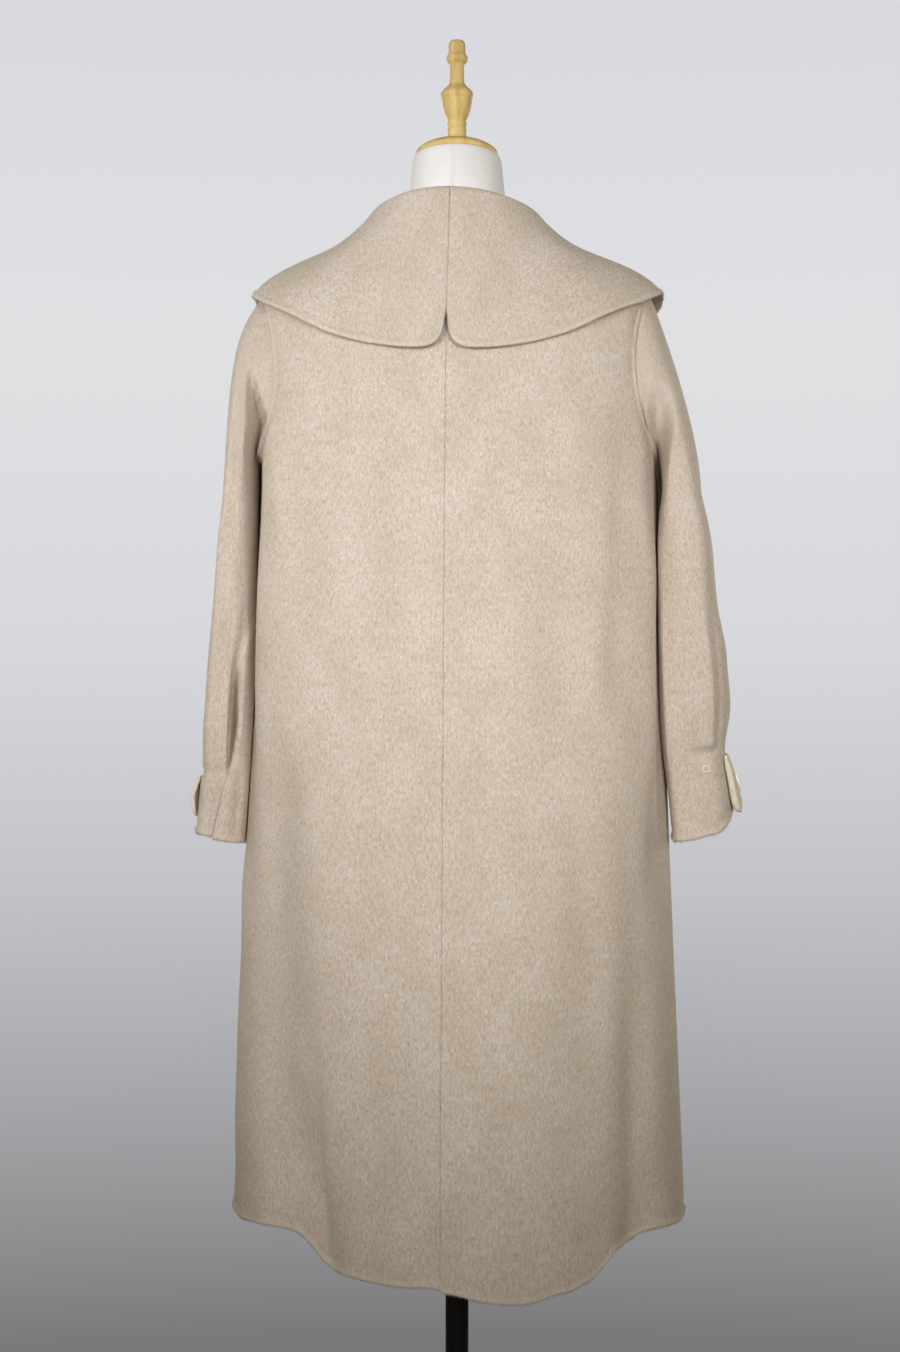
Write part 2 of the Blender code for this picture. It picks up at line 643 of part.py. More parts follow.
def cuff_tab(name, side):
    """Tab moved out from the sleeve's own points."""
    down = np.array([row.down for row in TAB_ROWS])
    width = np.array([row.width for row in TAB_ROWS])
    middle = 0.5 * (TAB_BACK + TAB_FRONT)
    half = 0.5 * (TAB_BACK - TAB_FRONT)
    across = middle + half * width[:, None] * np.linspace(-1.0, 1.0, 8)[None, :]
    down = np.broadcast_to(down[:, None], across.shape)
    place, normal = tab_place(side, down, across)
    stand = tab_stand(side, down)[..., None]
    return wall(name, place + normal * (stand + TAB_CLOTH), place + normal * stand)


def cuff_button(name, side):
    """Round button on the outer face of a tab."""
    down = np.array(BUTTON_DOWN)
    across = np.array(0.5 * (TAB_BACK + TAB_FRONT))
    place, normal = tab_place(side, down, across)
    lift = float(tab_stand(side, down)) + TAB_CLOTH + SEAM
    step = 1e-3
    higher, _ = tab_place(side, down - step, across)
    lower, _ = tab_place(side, down + step, across)
    grow = (tab_stand(side, down + step) - tab_stand(side, down - step)) * normal
    up_way = unit((higher - lower) - grow)
    face_way = unit(normal - up_way * float(normal @ up_way))
    side_way = np.cross(up_way, face_way)
    foot = place + normal * lift + face_way * 0.0006
    angles = np.linspace(0.0, 2.0 * math.pi, 28, endpoint=False)
    profile = ((BUTTON_RADIUS - BUTTON_EDGE, 0.0), (BUTTON_RADIUS, BUTTON_EDGE),
               (BUTTON_RADIUS, BUTTON_THICK - BUTTON_EDGE), (BUTTON_RADIUS - BUTTON_EDGE, BUTTON_THICK),
               (BUTTON_RADIUS - 3.0 * BUTTON_EDGE, BUTTON_THICK - 0.0006))
    rings = []
    for radius, height in profile:
        spread = radius * (np.cos(angles)[:, None] * up_way + np.sin(angles)[:, None] * side_way)
        rings.append(foot + face_way * height + spread)
    return stack_of_rings(name, rings, BUTTON, 0.25)


# Dress form

def form_ring(form):
    """One ring of the form, with its own side, back and front heights."""
    angles = np.linspace(0.0, 2.0 * math.pi, FORM_COLUMNS, endpoint=False)
    along = np.sin(angles)
    depth = np.where(along >= 0.0, form.depth_back, form.depth_front)
    end = np.where(along >= 0.0, form.back, form.front)
    return points(form.half_width * np.cos(angles), depth * along, form.side + (end - form.side) * np.abs(along) ** 3)


def shoulder_ring(level):
    """A ring of the form that carries the coat's shoulders."""
    angles = np.linspace(0.0, 2.0 * math.pi, FORM_COLUMNS, endpoint=False)
    return body(angles, level) - body_normal(angles, np.full_like(angles, level)) * (CLOTH + REST)


def slanted_ring(form):
    """A ring on one slanted plane, higher at the back."""
    angles = np.linspace(0.0, 2.0 * math.pi, FORM_COLUMNS, endpoint=False)
    along = np.sin(angles)
    depth = np.where(along >= 0.0, form.depth_back, form.depth_front)
    middle = 0.5 * (form.back + form.front)
    return points(form.half_width * np.cos(angles), depth * along, middle + 0.5 * (form.back - form.front) * along)


def dress_form():
    """Torso with neck, wooden cap and finial, pole and base."""
    rings = [form_ring(form) for form in TORSO_RINGS]
    rings += [shoulder_ring(level) for level in SHOULDER_LEVELS]
    rings += [form_ring(form) for form in NECK_RINGS[:-1]]
    rings.append(slanted_ring(NECK_RINGS[-1]))
    stack_of_rings("form_torso", rings, JERSEY, 0.9)
    stack_of_rings("neck_cap", [slanted_ring(form) for form in CAP_RINGS], WOOD, 0.35)
    turned("finial", FINIAL, FINIAL_COLUMNS, WOOD, 0.3)
    turned("pole", POLE_PROFILE, POLE_COLUMNS, BLACK, 0.4)
    turned("base", BASE_PROFILE, BASE_COLUMNS, BLACK, 0.4)


def coat():
    """All the coat's cut pieces."""
    panel("back_left", 1, True)
    panel("back_right", -1, True)
    panel("front_left", 1, False)
    panel("front_right", -1, False)
    under_first = round(SEAM_BACK / (2.0 * math.pi) * ARM_STEPS)
    under_last = round(SEAM_FRONT / (2.0 * math.pi) * ARM_STEPS)
    for side, word in ((1, "left"), (-1, "right")):
        sleeve_piece("sleeve_" + word + "_top", side, under_last - ARM_STEPS, under_first)
        sleeve_piece("sleeve_" + word + "_under", side, under_first, under_last)
        collar_half("collar_" + word, side)
        cuff_tab("cuff_tab_" + word, side)
        cuff_button("cuff_button_" + word, side)


def main():
    """Clear the scene and build everything."""
    for thing in list(bpy.data.objects):
        bpy.data.objects.remove(thing, do_unlink=True)
    coat()
    dress_form()


main()
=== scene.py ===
"""Looks of a long wool coat with a wide turn-down collar, hung on a limbless dress form.

Units are metres, +Z is up and the coat's back faces +Y. Each cut piece is a closed thin shell with
rounded edges, laid on the same sizes as its solid, with creases, seams and nap added.
"""

import math
from collections import namedtuple

import bmesh
import bpy
import numpy as np
from mathutils import Matrix, Vector


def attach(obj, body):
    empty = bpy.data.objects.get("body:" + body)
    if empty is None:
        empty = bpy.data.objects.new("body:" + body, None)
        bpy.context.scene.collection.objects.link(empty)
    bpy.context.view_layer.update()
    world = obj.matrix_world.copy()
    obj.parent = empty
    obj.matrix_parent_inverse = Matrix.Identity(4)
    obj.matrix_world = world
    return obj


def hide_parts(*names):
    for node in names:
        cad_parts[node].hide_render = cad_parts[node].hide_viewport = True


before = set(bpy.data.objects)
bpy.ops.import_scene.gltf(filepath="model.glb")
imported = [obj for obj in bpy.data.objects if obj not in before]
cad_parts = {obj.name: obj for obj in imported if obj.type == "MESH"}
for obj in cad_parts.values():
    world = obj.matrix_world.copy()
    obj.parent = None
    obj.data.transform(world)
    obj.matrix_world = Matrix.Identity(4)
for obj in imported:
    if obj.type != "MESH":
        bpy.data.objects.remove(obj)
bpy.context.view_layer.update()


def table(columns, *rows):
    """Rows of values with named columns."""
    kind = namedtuple("Row", columns)
    return tuple(kind(*row) for row in rows)


# Columns of turned shapes
TURN_COLUMNS = "height radius"
# Step for measuring slopes, and the distance within which points are one
SLOPE_STEP = 1e-4
TINY = 1e-6
# How far past its ends a sleeve can be read, for slopes there
OVERRUN = 0.01

# Cloth and seams
CLOTH = 0.0026
SEAM = 0.0003
REST = 0.0018
LAP = 0.045

# Levels on the body, read at the side
HEM = 0.342
ARM_LEVEL = 1.2625
ARM_HALF = 0.0975
NECK = 1.410
ARM_BACK = math.radians(30.0)
ARM_FRONT = math.radians(33.0)
LAP_TOP = 1.385
LAP_TAPER = 0.09
# The upper front eases up over the lower one from this far before the lap.
LAP_LIFT_START = 0.060
LAP_LIFT_EASE = 0.052
# Creases are held at the side seam and the armhole, the neck and the centre, and ease in over these widths.
SEAM_HELD = 0.002
SEAM_EASE = 0.03
NECK_EASE = 0.05
CENTRE_FREE = 0.012
# Width beside the armhole where the wall turns to face as the sleeve does
SEWN_WIDTH = 0.006
# The left back's armhole is cut in further and squarer under the arm.
ARM_CUT_IN = math.radians(5.2)
ARM_CUT_TURN = math.radians(114.0)
ARM_CUT_SPREAD = math.radians(40.0)
ARM_SQUARE = 0.42
ARM_SQUARE_TURN = math.radians(146.0)
ARM_SQUARE_SPREAD = math.radians(24.0)

# Body rings. level, back and front are the heights at the side, centre back and centre front.
BODY_RINGS = table(
    "level back front half_width depth_back depth_front square step",
    (0.342, 0.2985, 0.326, 0.2495, 0.196, 0.176, 0.01, 1.0),
    (0.500, 0.474, 0.491, 0.2435, 0.190, 0.170, 0.02, 0.7),
    (0.700, 0.690, 0.696, 0.2355, 0.178, 0.162, 0.04, 0.2),
    (0.900, 0.898, 0.898, 0.2280, 0.166, 0.154, 0.07, 0.0),
    (1.060, 1.060, 1.050, 0.2225, 0.155, 0.150, 0.085, 0.0),
    (1.165, 1.165, 1.140, 0.2190, 0.146, 0.146, 0.085, 0.0),
    (1.260, 1.260, 1.205, 0.2170, 0.136, 0.137, 0.075, 0.0),
    (1.325, 1.318, 1.247, 0.2160, 0.121, 0.124, 0.055, 0.0),
    (1.360, 1.345, 1.270, 0.2090, 0.101, 0.107, 0.04, 0.0),
    (1.386, 1.370, 1.290, 0.1440, 0.086, 0.094, 0.02, 0.0),
    (1.410, 1.392, 1.316, 0.0800, 0.068, 0.075, 0.00, 0.0),
)
STEP_START = math.radians(38.5)
STEP_WIDTH = math.radians(22.5)
# The hem's own uneven line behind: how far it is trimmed up, by turn from the wearer's left
HEM_TRIM = table(
    "turn rise",
    (0.0, 0.0), (20.0, -0.0020), (30.0, 0.0), (40.0, 0.0005), (45.0, 0.0040), (48.5, 0.0),
    (52.0, -0.0040), (56.0, 0.0), (60.0, 0.0035), (66.0, 0.0040), (72.0, 0.0030),
    (80.0, 0.0025), (86.0, 0.0040), (89.6, 0.0038), (90.4, 0.0005), (94.0, -0.0015),
    (98.0, -0.0055), (103.0, -0.0080), (108.0, -0.0085), (112.0, -0.0060), (117.0, -0.0010),
    (122.0, -0.0005), (126.0, -0.0040), (130.0, -0.0055), (135.0, -0.0060), (140.0, -0.0090),
    (144.0, -0.0070), (148.0, -0.0020), (152.0, 0.0), (180.0, 0.0),
)
TRIM_REACH = 0.20

# Soft folds of the skirt. angle runs from the wearer's left side round the back; depth is at the hem.
FOLD_FADE = 1.3
BODY_FOLDS = table(
    "angle spread depth fade",
    (54.0, 13.0, -0.042, 0.98),
    (145.0, 8.0, -0.013, 0.98),
    (17.0, 12.0, -0.003, 0.70),
    (163.0, 12.0, 0.0050, 0.70),
    (108.0, 16.0, 0.020, 0.95),
    (74.0, 8.0, -0.006, 0.90),
    (-38.0, 11.0, -0.020, 0.95),
    (-141.0, 11.0, -0.022, 0.90),
    (-62.0, 10.0, 0.006, 0.85),
    (-117.0, 11.0, 0.007, 0.90),
)

# Sleeve rings below the cap. outer and inner are sideways reaches, valley is the right one's shallow
# back pleat.
SLEEVE_RINGS = table(
    "height outer_left outer_right inner_left inner_right centre_y half_depth valley",
    (1.130, 0.2535, 0.2690, 0.2224, 0.2230, 0.000, 0.0800, 0.000),
    (1.080, 0.2605, 0.2795, 0.2240, 0.2232, -0.002, 0.0790, 0.000),
    (1.014, 0.2670, 0.2855, 0.2263, 0.2244, -0.006, 0.0770, 0.000),
    (0.948, 0.2745, 0.2950, 0.2286, 0.2262, -0.011, 0.0750, 0.001),
    (0.900, 0.2785, 0.2972, 0.2303, 0.2276, -0.015, 0.0730, 0.002),
    (0.848, 0.2815, 0.2945, 0.2326, 0.2308, -0.019, 0.0690, 0.004),
    (0.800, 0.2865, 0.2990, 0.2355, 0.2360, -0.023, 0.0660, 0.003),
    (0.752, 0.2930, 0.3040, 0.2390, 0.2394, -0.026, 0.0630, 0.002),
)
SLEEVE_SQUARE = 0.18
# Fullness between the back and the inner side of the sleeves: its turn, how far it stands out behind and
# how far it lies in against the body.
SLEEVE_CORNERS = table(
    "height left_turn left_out left_tuck right_turn right_out right_tuck",
    (1.130, 144.0, 0.0060, 0.0100, 148.0, 0.0040, 0.0000),
    (1.080, 144.0, 0.0080, 0.0110, 152.0, 0.0140, 0.0020),
    (1.014, 145.0, 0.0095, 0.0105, 156.0, 0.0220, 0.0030),
    (0.948, 149.0, 0.0130, 0.0085, 156.0, 0.0230, 0.0030),
    (0.900, 152.0, 0.0155, 0.0075, 156.0, 0.0220, 0.0030),
    (0.848, 152.0, 0.0150, 0.0070, 156.0, 0.0200, 0.0025),
    (0.800, 150.0, 0.0115, 0.0060, 154.0, 0.0160, 0.0015),
    (0.752, 149.0, 0.0085, 0.0050, 152.0, 0.0120, 0.0005),
)
CORNER_SPREAD = math.radians(19.0)
TUCK_BEYOND = math.radians(7.0)
TUCK_SPREAD = math.radians(11.0)
# A cap's rough length, and the share of its fall over which creases ease in
CAP_LENGTH = 0.2
CAP_EASE = 0.25
# How quickly the caps spread from the armhole: the share that spreads at once, and its sharpness
CAP_SHARE_LEFT = 0.68
CAP_SHARP_LEFT = 8.0
CAP_SHARE_RIGHT = 1.0
CAP_SHARP_RIGHT = 1.55
SEAM_BACK = math.radians(108.0)
SEAM_FRONT = math.radians(234.0)
VALLEY_SPREAD = math.radians(17.0)
# How the cuffs' lower edges rise and drop, below these heights
CUFF_EASE_TOP = 0.90
CUFF_EASE = 0.15
CORNER_RISE_TOP = 0.84
CORNER_RISE_EASE = 0.09
CUFF_RISE_LEFT = 0.004
CUFF_RISE_RIGHT = 0.012
CUFF_DROP_LEFT = 0.007
CUFF_DROP_RIGHT = 0.003
CORNER_RISE_RIGHT = 0.019
CORNER_TURN = math.radians(66.0)
CORNER_EASE = math.radians(50.0)
# The left sleeve's back seam runs slantwise from the foot of the pleat to the cuff.
PLEAT_FOOT = 0.814
PLEAT_CUFF_TURN = math.radians(86.0)
PLEAT_FOOT_EASE = 0.012
PLEAT_EDGE_EASE = 0.03
PLEAT_LIP = 0.0046
PLEAT_LIP_REACH = 0.018
PLEAT_TUCK = 0.0022
PLEAT_TUCK_REACH = 0.005

# Collar spokes round the neck, counted from the centre back. Reaches are from the neck's axis.
COLLAR_SPOKES = table(
    "turn roll_reach roll_height edge_reach edge_height sag swell left_rise left_out",
    (0.0, 0.083, 1.4565, 0.1410, 1.2740, 0.000, 0.004, 0.0000, 0.0000),
    (16.0, 0.085, 1.4545, 0.1460, 1.2740, 0.001, 0.005, 0.0015, 0.0000),
    (31.0, 0.087, 1.4510, 0.1550, 1.2790, 0.002, 0.007, 0.0025, 0.0000),
    (46.0, 0.089, 1.4465, 0.1720, 1.2910, 0.004, 0.010, 0.0030, 0.0000),
    (64.0, 0.091, 1.4405, 0.2000, 1.3195, 0.006, 0.018, 0.0036, 0.0000),
    (80.0, 0.092, 1.4350, 0.2235, 1.3420, 0.012, 0.020, 0.0042, 0.0000),
    (90.0, 0.093, 1.4310, 0.2268, 1.3500, 0.018, 0.019, 0.0040, 0.0000),
    (100.0, 0.094, 1.4240, 0.2278, 1.3420, 0.017, 0.018, 0.0015, 0.0035),
    (116.0, 0.096, 1.4080, 0.2080, 1.3135, 0.011, 0.014, 0.0000, 0.0085),
    (135.0, 0.096, 1.3830, 0.1780, 1.2650, 0.005, 0.009, 0.0000, 0.0040),
    (155.0, 0.095, 1.3540, 0.1590, 1.2270, 0.002, 0.006, 0.0000, 0.0000),
    (180.0, 0.094, 1.3400, 0.1500, 1.2060, 0.001, 0.004, 0.0000, 0.0000),
)
# How much of the fall is kept near the rounded corners at the back slit and at the front.
COLLAR_CORNERS = table(
    "turn kept",
    (0.0, 0.7375),
    (0.68, 0.8125),
    (1.26, 0.875),
    (2.7, 0.9375),
    (4.5, 0.969),
    (8.1, 0.994),
    (11.7, 1.0),
    (163.0, 1.0),
    (170.0, 0.975),
    (175.0, 0.92),
    (178.0, 0.84),
    (180.0, 0.72),
)
ROLL_RADIUS = 0.0045
# How the stand leans between the neck seam and the roll, in shares of its height
STAND_LEAN = np.array((-0.10, 0.45))
# Creases ease in below the roll, as a share of the fall, and away from the collar's ends, as an angle.
COLLAR_ROLL_EASE = 0.4
COLLAR_END_EASE = 0.2
# The flat collar is a bow: its inner radius and its share of the full turn
COLLAR_FLAT_NECK = 0.10
COLLAR_FLAT_TURN = 0.6

# Cuff tabs, sewn at the top and standing off below. down runs from the top to the lower end.
TAB_ROWS = table(
    "down width stand_left stand_right thick_left thick_right",
    (0.00, 0.92, 0.0003, 0.0008, 0.0030, 0.0036),
    (0.12, 0.98, 0.0010, 0.0012, 0.0038, 0.0052),
    (0.30, 1.00, 0.0030, 0.0017, 0.0050, 0.0066),
    (0.50, 1.00, 0.0050, 0.0022, 0.0056, 0.0070),
    (0.75, 0.98, 0.0034, 0.0026, 0.0048, 0.0078),
    (0.92, 0.86, 0.0010, 0.0044, 0.0036, 0.0070),
    (1.00, 0.60, 0.0006, 0.0060, 0.0026, 0.0046),
)
TAB_WIDTH = 0.036
TAB_TOP_LEFT = 0.816
TAB_TOP_RIGHT = 0.840
TAB_HEIGHT_LEFT = 0.047
TAB_HEIGHT_RIGHT = 0.087
TAB_FRONT = math.radians(-14.0)
TAB_BACK_LEFT = math.radians(34.0)
TAB_BACK_RIGHT = math.radians(40.0)
BUTTON_DOWN = 0.58
BUTTON_RADIUS = 0.0110
BUTTON_PROFILE = table(
    TURN_COLUMNS,
    (0.0, 0.0), (0.0, 0.0094), (0.0004, 0.0104), (0.0014, BUTTON_RADIUS), (0.0018, BUTTON_RADIUS),
    (0.0029, 0.0105), (0.0034, 0.0096), (0.0030, 0.0084), (0.0024, 0.0070), (0.0021, 0.0),
)
BUTTON_SEGMENTS = 48
# The button sinks into its tab over a little more than its own radius.
BUTTON_SINK = 0.0034
BUTTON_NEST = 1.15
BUTTON_STAND = 0.0004
BUTTON_TILT_STEP = 0.15

# The hanging sleeve keeps clear of the body by this much, from a little under the armhole down.
BODY_GAP = 0.0022
UNDERARM_FREE = 1.158
UNDERARM_EASE = 0.03
# Where the body's reach is measured, by turn from its side and by level
REACH_TURNS = np.radians(np.linspace(-55.0, 55.0, 161))
REACH_LEVELS = np.linspace(0.70, 1.20, 51)

# Square of thread bars on the right cuff
STITCH_TURN = math.radians(73.0)
STITCH_HEIGHT = 0.826
STITCH_WIDE = 0.0066
STITCH_TALL = 0.0062
STITCH_STAND = 0.0012
THREAD = 0.0008

# Dress form, bottom to top
FORM_COLUMNS = "side back front half_width depth_back depth_front"
TORSO_RINGS = table(
    FORM_COLUMNS,
    (0.720, 0.720, 0.720, 0.1480, 0.104, 0.082),
    (0.728, 0.728, 0.728, 0.1620, 0.116, 0.092),
    (0.750, 0.750, 0.750, 0.1680, 0.121, 0.097),
    (0.830, 0.830, 0.830, 0.1690, 0.124, 0.100),
    (0.920, 0.920, 0.915, 0.1500, 0.108, 0.092),
    (1.015, 1.015, 1.005, 0.1210, 0.082, 0.084),
    (1.100, 1.100, 1.075, 0.1360, 0.088, 0.104),
    (1.180, 1.180, 1.130, 0.1530, 0.097, 0.120),
    (1.250, 1.248, 1.180, 0.1600, 0.101, 0.116),
    (1.305, 1.298, 1.215, 0.1680, 0.101, 0.110),
    (1.342, 1.330, 1.245, 0.1760, 0.094, 0.103),
)
# Levels at which the form follows the coat's shoulders
SHOULDER_FOOT = 1.360
SHOULDER_RISE = 0.05
SHOULDER_LEVELS = tuple(SHOULDER_FOOT + SHOULDER_RISE / part for part in (3.0, 2.0, 1.5))
NECK_RINGS = table(
    FORM_COLUMNS,
    (1.3950, 1.3800, 1.3080, 0.0880, 0.0660, 0.0730),
    (1.4030, 1.3920, 1.3380, 0.0680, 0.0580, 0.0620),
    (1.4180, 1.4160, 1.3880, 0.0585, 0.0545, 0.0570),
    (1.4450, 1.4460, 1.4260, 0.0550, 0.0545, 0.0550),
    (1.4740, 1.4760, 1.4620, 0.0522, 0.0520, 0.0525),
)
NECK_TOP_RINGS = table(
    FORM_COLUMNS,
    (1.4950, 1.5000, 1.4890, 0.0503, 0.0503, 0.0503),
    (1.5010, 1.5068, 1.4952, 0.0493, 0.0495, 0.0495),
    (1.5042, 1.5102, 1.4982, 0.0475, 0.0480, 0.0480),
    (1.5050, 1.5110, 1.4990, 0.0452, 0.0456, 0.0456),
)
CAP_RINGS = table(
    FORM_COLUMNS,
    (1.5053, 1.5113, 1.4993, 0.0455, 0.0460, 0.0460),
    (1.5080, 1.5140, 1.5020, 0.0462, 0.0468, 0.0468),
    (1.5125, 1.5180, 1.5070, 0.0435, 0.0440, 0.0440),
    (1.5185, 1.5222, 1.5148, 0.0330, 0.0333, 0.0333),
    (1.5212, 1.5230, 1.5194, 0.0230, 0.0230, 0.0230),
    (1.5225, 1.5225, 1.5225, 0.0160, 0.0160, 0.0160),
)
FORM_SEGMENTS = 96
FORM_FINER = 3
FINIAL_SEGMENTS = 64
POLE_SEGMENTS = 48
BASE_SEGMENTS = 96
# Edges sharper than this many degrees stay crisp.
FORM_SHARP = 60.0
TURNED_SHARP = 40.0
BUTTON_SHARP = 50.0
FINIAL = table(
    TURN_COLUMNS,
    (1.5228, 0.0146), (1.5245, 0.0133), (1.5265, 0.0119), (1.5290, 0.0107), (1.5310, 0.0101),
    (1.5322, 0.0101), (1.5335, 0.0105), (1.5350, 0.0108), (1.5365, 0.0107), (1.5380, 0.0101),
    (1.5390, 0.0096), (1.5398, 0.0099), (1.5410, 0.0106), (1.5425, 0.0108), (1.5440, 0.0107),
    (1.5455, 0.0100), (1.5467, 0.0097), (1.5490, 0.0112), (1.5517, 0.0127), (1.5545, 0.0139),
    (1.5582, 0.0150), (1.5620, 0.0159), (1.5660, 0.0164), (1.5700, 0.0168), (1.5712, 0.0168),
    (1.5720, 0.0173), (1.5733, 0.0180), (1.5750, 0.0182), (1.5767, 0.0180), (1.5785, 0.0171),
    (1.5810, 0.0150), (1.5835, 0.0121), (1.5845, 0.0112), (1.5866, 0.0095), (1.5885, 0.0086),
    (1.5912, 0.0080), (1.5990, 0.0078), (1.6070, 0.0079), (1.6085, 0.0082), (1.6100, 0.0091),
    (1.6116, 0.0106), (1.6134, 0.0118), (1.6156, 0.0122), (1.6178, 0.0117), (1.6195, 0.0106),
    (1.6206, 0.0097), (1.6216, 0.0094), (1.6280, 0.0093), (1.6320, 0.0090), (1.6342, 0.0082),
    (1.6355, 0.0068), (1.6360, 0.0050),
)
POLE_RADIUS = 0.01275
POLE_PROFILE = table(
    TURN_COLUMNS,
    (0.0123, POLE_RADIUS - 0.0006), (0.0129, POLE_RADIUS), (0.7197, POLE_RADIUS),
)
BASE_PROFILE = table(
    TURN_COLUMNS,
    (0.0000, 0.1570), (0.0015, 0.1590), (0.0050, 0.1600), (0.0075, 0.1585), (0.0090, 0.1540),
    (0.0105, 0.0900), (0.0120, 0.0300),
)

# Rows of the shells: close together along an edge, even between the edges
EDGE_ROWS = np.array((0.0, 0.0004, 0.0010, 0.0019, 0.0032, 0.0052, 0.0080, 0.0120))
SKIRT_ROWS = 140
ARMHOLE_ROWS = 48
SHOULDER_ROWS = 12
CAP_SHELL_ROWS = 44
HANG_SHELL_ROWS = 92
PANEL_MIDDLE = 64
SLEEVE_TOP_MIDDLE = 96
SLEEVE_UNDER_MIDDLE = 56
COLLAR_STAND_ROWS = 8
COLLAR_ROLL_ROWS = 9
COLLAR_FALL_ROWS = 40
COLLAR_MIDDLE = 90
TAB_MIDDLE_ROWS = 26
TAB_MIDDLE_COLUMNS = 14
# Dense points along a row, from which the even ones are read
PANEL_DENSE = 121
SLEEVE_DENSE = 161
NECK_DENSE = 721

# How a cloth edge is finished. roll is the soft turned edge, dent the line of hidden stitches beside it.
# lift is how near the outer skin the two skins meet: 0 is the middle of the cloth, 1 its outer skin.
# The last two columns are a painted highlight: how much paler the edge is painted where its roll catches the
# light, and the width it spreads over.
Edge = namedtuple("Edge", "radius lift roll roll_at roll_spread dent dent_at tone tone_reach")
DENT_SPREAD = 0.4
CENTRE_SEAM = Edge(0.0011, 0.35, 0.0003, 0.0030, 0.0016, 0.0002, 0.0070, 0.0, 0.001)
SIDE_SEAM = Edge(0.0009, 0.90, 0.0, 0.004, 0.002, 0.0001, 0.0040, 0.0, 0.001)
ARMHOLE_EDGE = Edge(0.0006, 0.95, 0.0012, 0.0022, 0.0015, 0.0005, 0.0070, 0.8, 0.0040)
CAP_EDGE = Edge(0.0008, 0.90, 0.0, 0.004, 0.002, 0.0013, 0.0026, 0.0, 0.001)
TURNED_EDGE = Edge(0.0024, 0.0, 0.0008, 0.0036, 0.0026, 0.0006, 0.0098, 0.8, 0.0062)
HEM_EDGE = Edge(0.0024, 0.0, 0.0019, 0.0034, 0.0024, 0.0011, 0.0092, 1.0, 0.0062)
LAP_EDGE = Edge(0.0021, 0.0, 0.0, 0.004, 0.002, 0.0004, 0.0050, 0.0, 0.001)
TAB_EDGE = Edge(0.0021, 0.0, 0.0, 0.004, 0.002, 0.0005, 0.0046, 0.6, 0.0040)

# Creases: a line from one turn and height to another, with its own width, depth and run-out.
CREASE_COLUMNS = "turn_top height_top turn_end height_end spread depth run_out"
BODY_CREASES = table(
    CREASE_COLUMNS,
    (63.0, 1.16, 57.0, 0.70, 0.036, -0.0040, 0.10),
    (40.0, 1.12, 38.0, 0.72, 0.030, 0.0030, 0.10),
    (118.0, 1.10, 128.0, 0.62, 0.034, -0.0040, 0.12),
    (141.0, 1.16, 137.0, 0.92, 0.018, -0.0032, 0.06),
    (35.0, 1.19, 44.0, 1.08, 0.014, 0.0022, 0.05),
    (-60.0, 1.12, -52.0, 0.70, 0.034, -0.0050, 0.11),
    (-40.0, 1.10, -44.0, 0.62, 0.026, 0.0036, 0.10),
    (-126.0, 1.14, -132.0, 0.66, 0.030, -0.0046, 0.10),
    (-147.0, 1.08, -150.0, 0.78, 0.022, 0.0034, 0.08),
    (-78.0, 0.78, -75.0, 0.46, 0.024, 0.0030, 0.10),
    (13.0, 1.18, 13.0, 0.78, 0.034, -0.0070, 0.07),
    (31.0, 1.16, 30.0, 0.80, 0.024, 0.0030, 0.06),
    (156.0, 1.16, 156.0, 0.84, 0.022, 0.0050, 0.06),
    (165.0, 0.96, 166.0, 0.73, 0.040, -0.0052, 0.07),
    (6.0, 0.86, 8.0, 0.72, 0.024, 0.0024, 0.06),
    (39.0, 0.74, 39.0, 0.50, 0.046, -0.0170, 0.15),
    (55.0, 0.66, 55.0, 0.50, 0.044, 0.0200, 0.15),
    (8.0, 0.68, 8.0, 0.47, 0.030, 0.0030, 0.08),
    (160.0, 0.72, 160.0, 0.40, 0.034, -0.0036, 0.08),
)
LEFT_SLEEVE_CREASES = table(
    CREASE_COLUMNS,
    (100.0, 0.905, 100.0, 0.840, 0.0070, 0.0026, 0.02),
    (112.0, 0.815, 106.0, 0.765, 0.0080, 0.0022, 0.02),
    (136.0, 0.800, 132.0, 0.765, 0.0080, -0.0030, 0.02),
    (70.0, 1.060, 78.0, 0.86, 0.0150, 0.0022, 0.05),
    (25.0, 1.020, 32.0, 0.88, 0.0160, -0.0022, 0.06),
    (-30.0, 1.080, -24.0, 0.86, 0.0180, 0.0030, 0.06),
    (-62.0, 0.990, -52.0, 0.84, 0.0130, -0.0034, 0.04),
    (-84.0, 1.020, -92.0, 0.92, 0.0140, -0.0038, 0.03),
    (-100.0, 0.930, -78.0, 0.86, 0.0120, 0.0030, 0.03),
)
RIGHT_SLEEVE_CREASES = table(
    CREASE_COLUMNS,
    (214.0, 1.120, 214.0, 0.840, 0.0260, 0.0042, 0.03),
    (100.0, 1.120, 104.0, 1.040, 0.0130, 0.0026, 0.05),
    (76.0, 0.985, 72.0, 0.870, 0.0100, 0.0020, 0.03),
    (50.0, 0.985, 48.0, 0.862, 0.0070, -0.0022, 0.02),
    (92.0, 0.900, 84.0, 0.850, 0.0100, 0.0020, 0.02),
    (28.0, 0.960, 24.0, 0.890, 0.0150, 0.0024, 0.03),
    (-20.0, 1.060, -28.0, 0.88, 0.0170, 0.0030, 0.06),
    (-58.0, 1.000, -50.0, 0.85, 0.0130, -0.0034, 0.04),
    (-86.0, 1.030, -94.0, 0.93, 0.0140, -0.0036, 0.03),
    (-104.0, 0.930, -80.0, 0.86, 0.0120, 0.0028, 0.03),
)
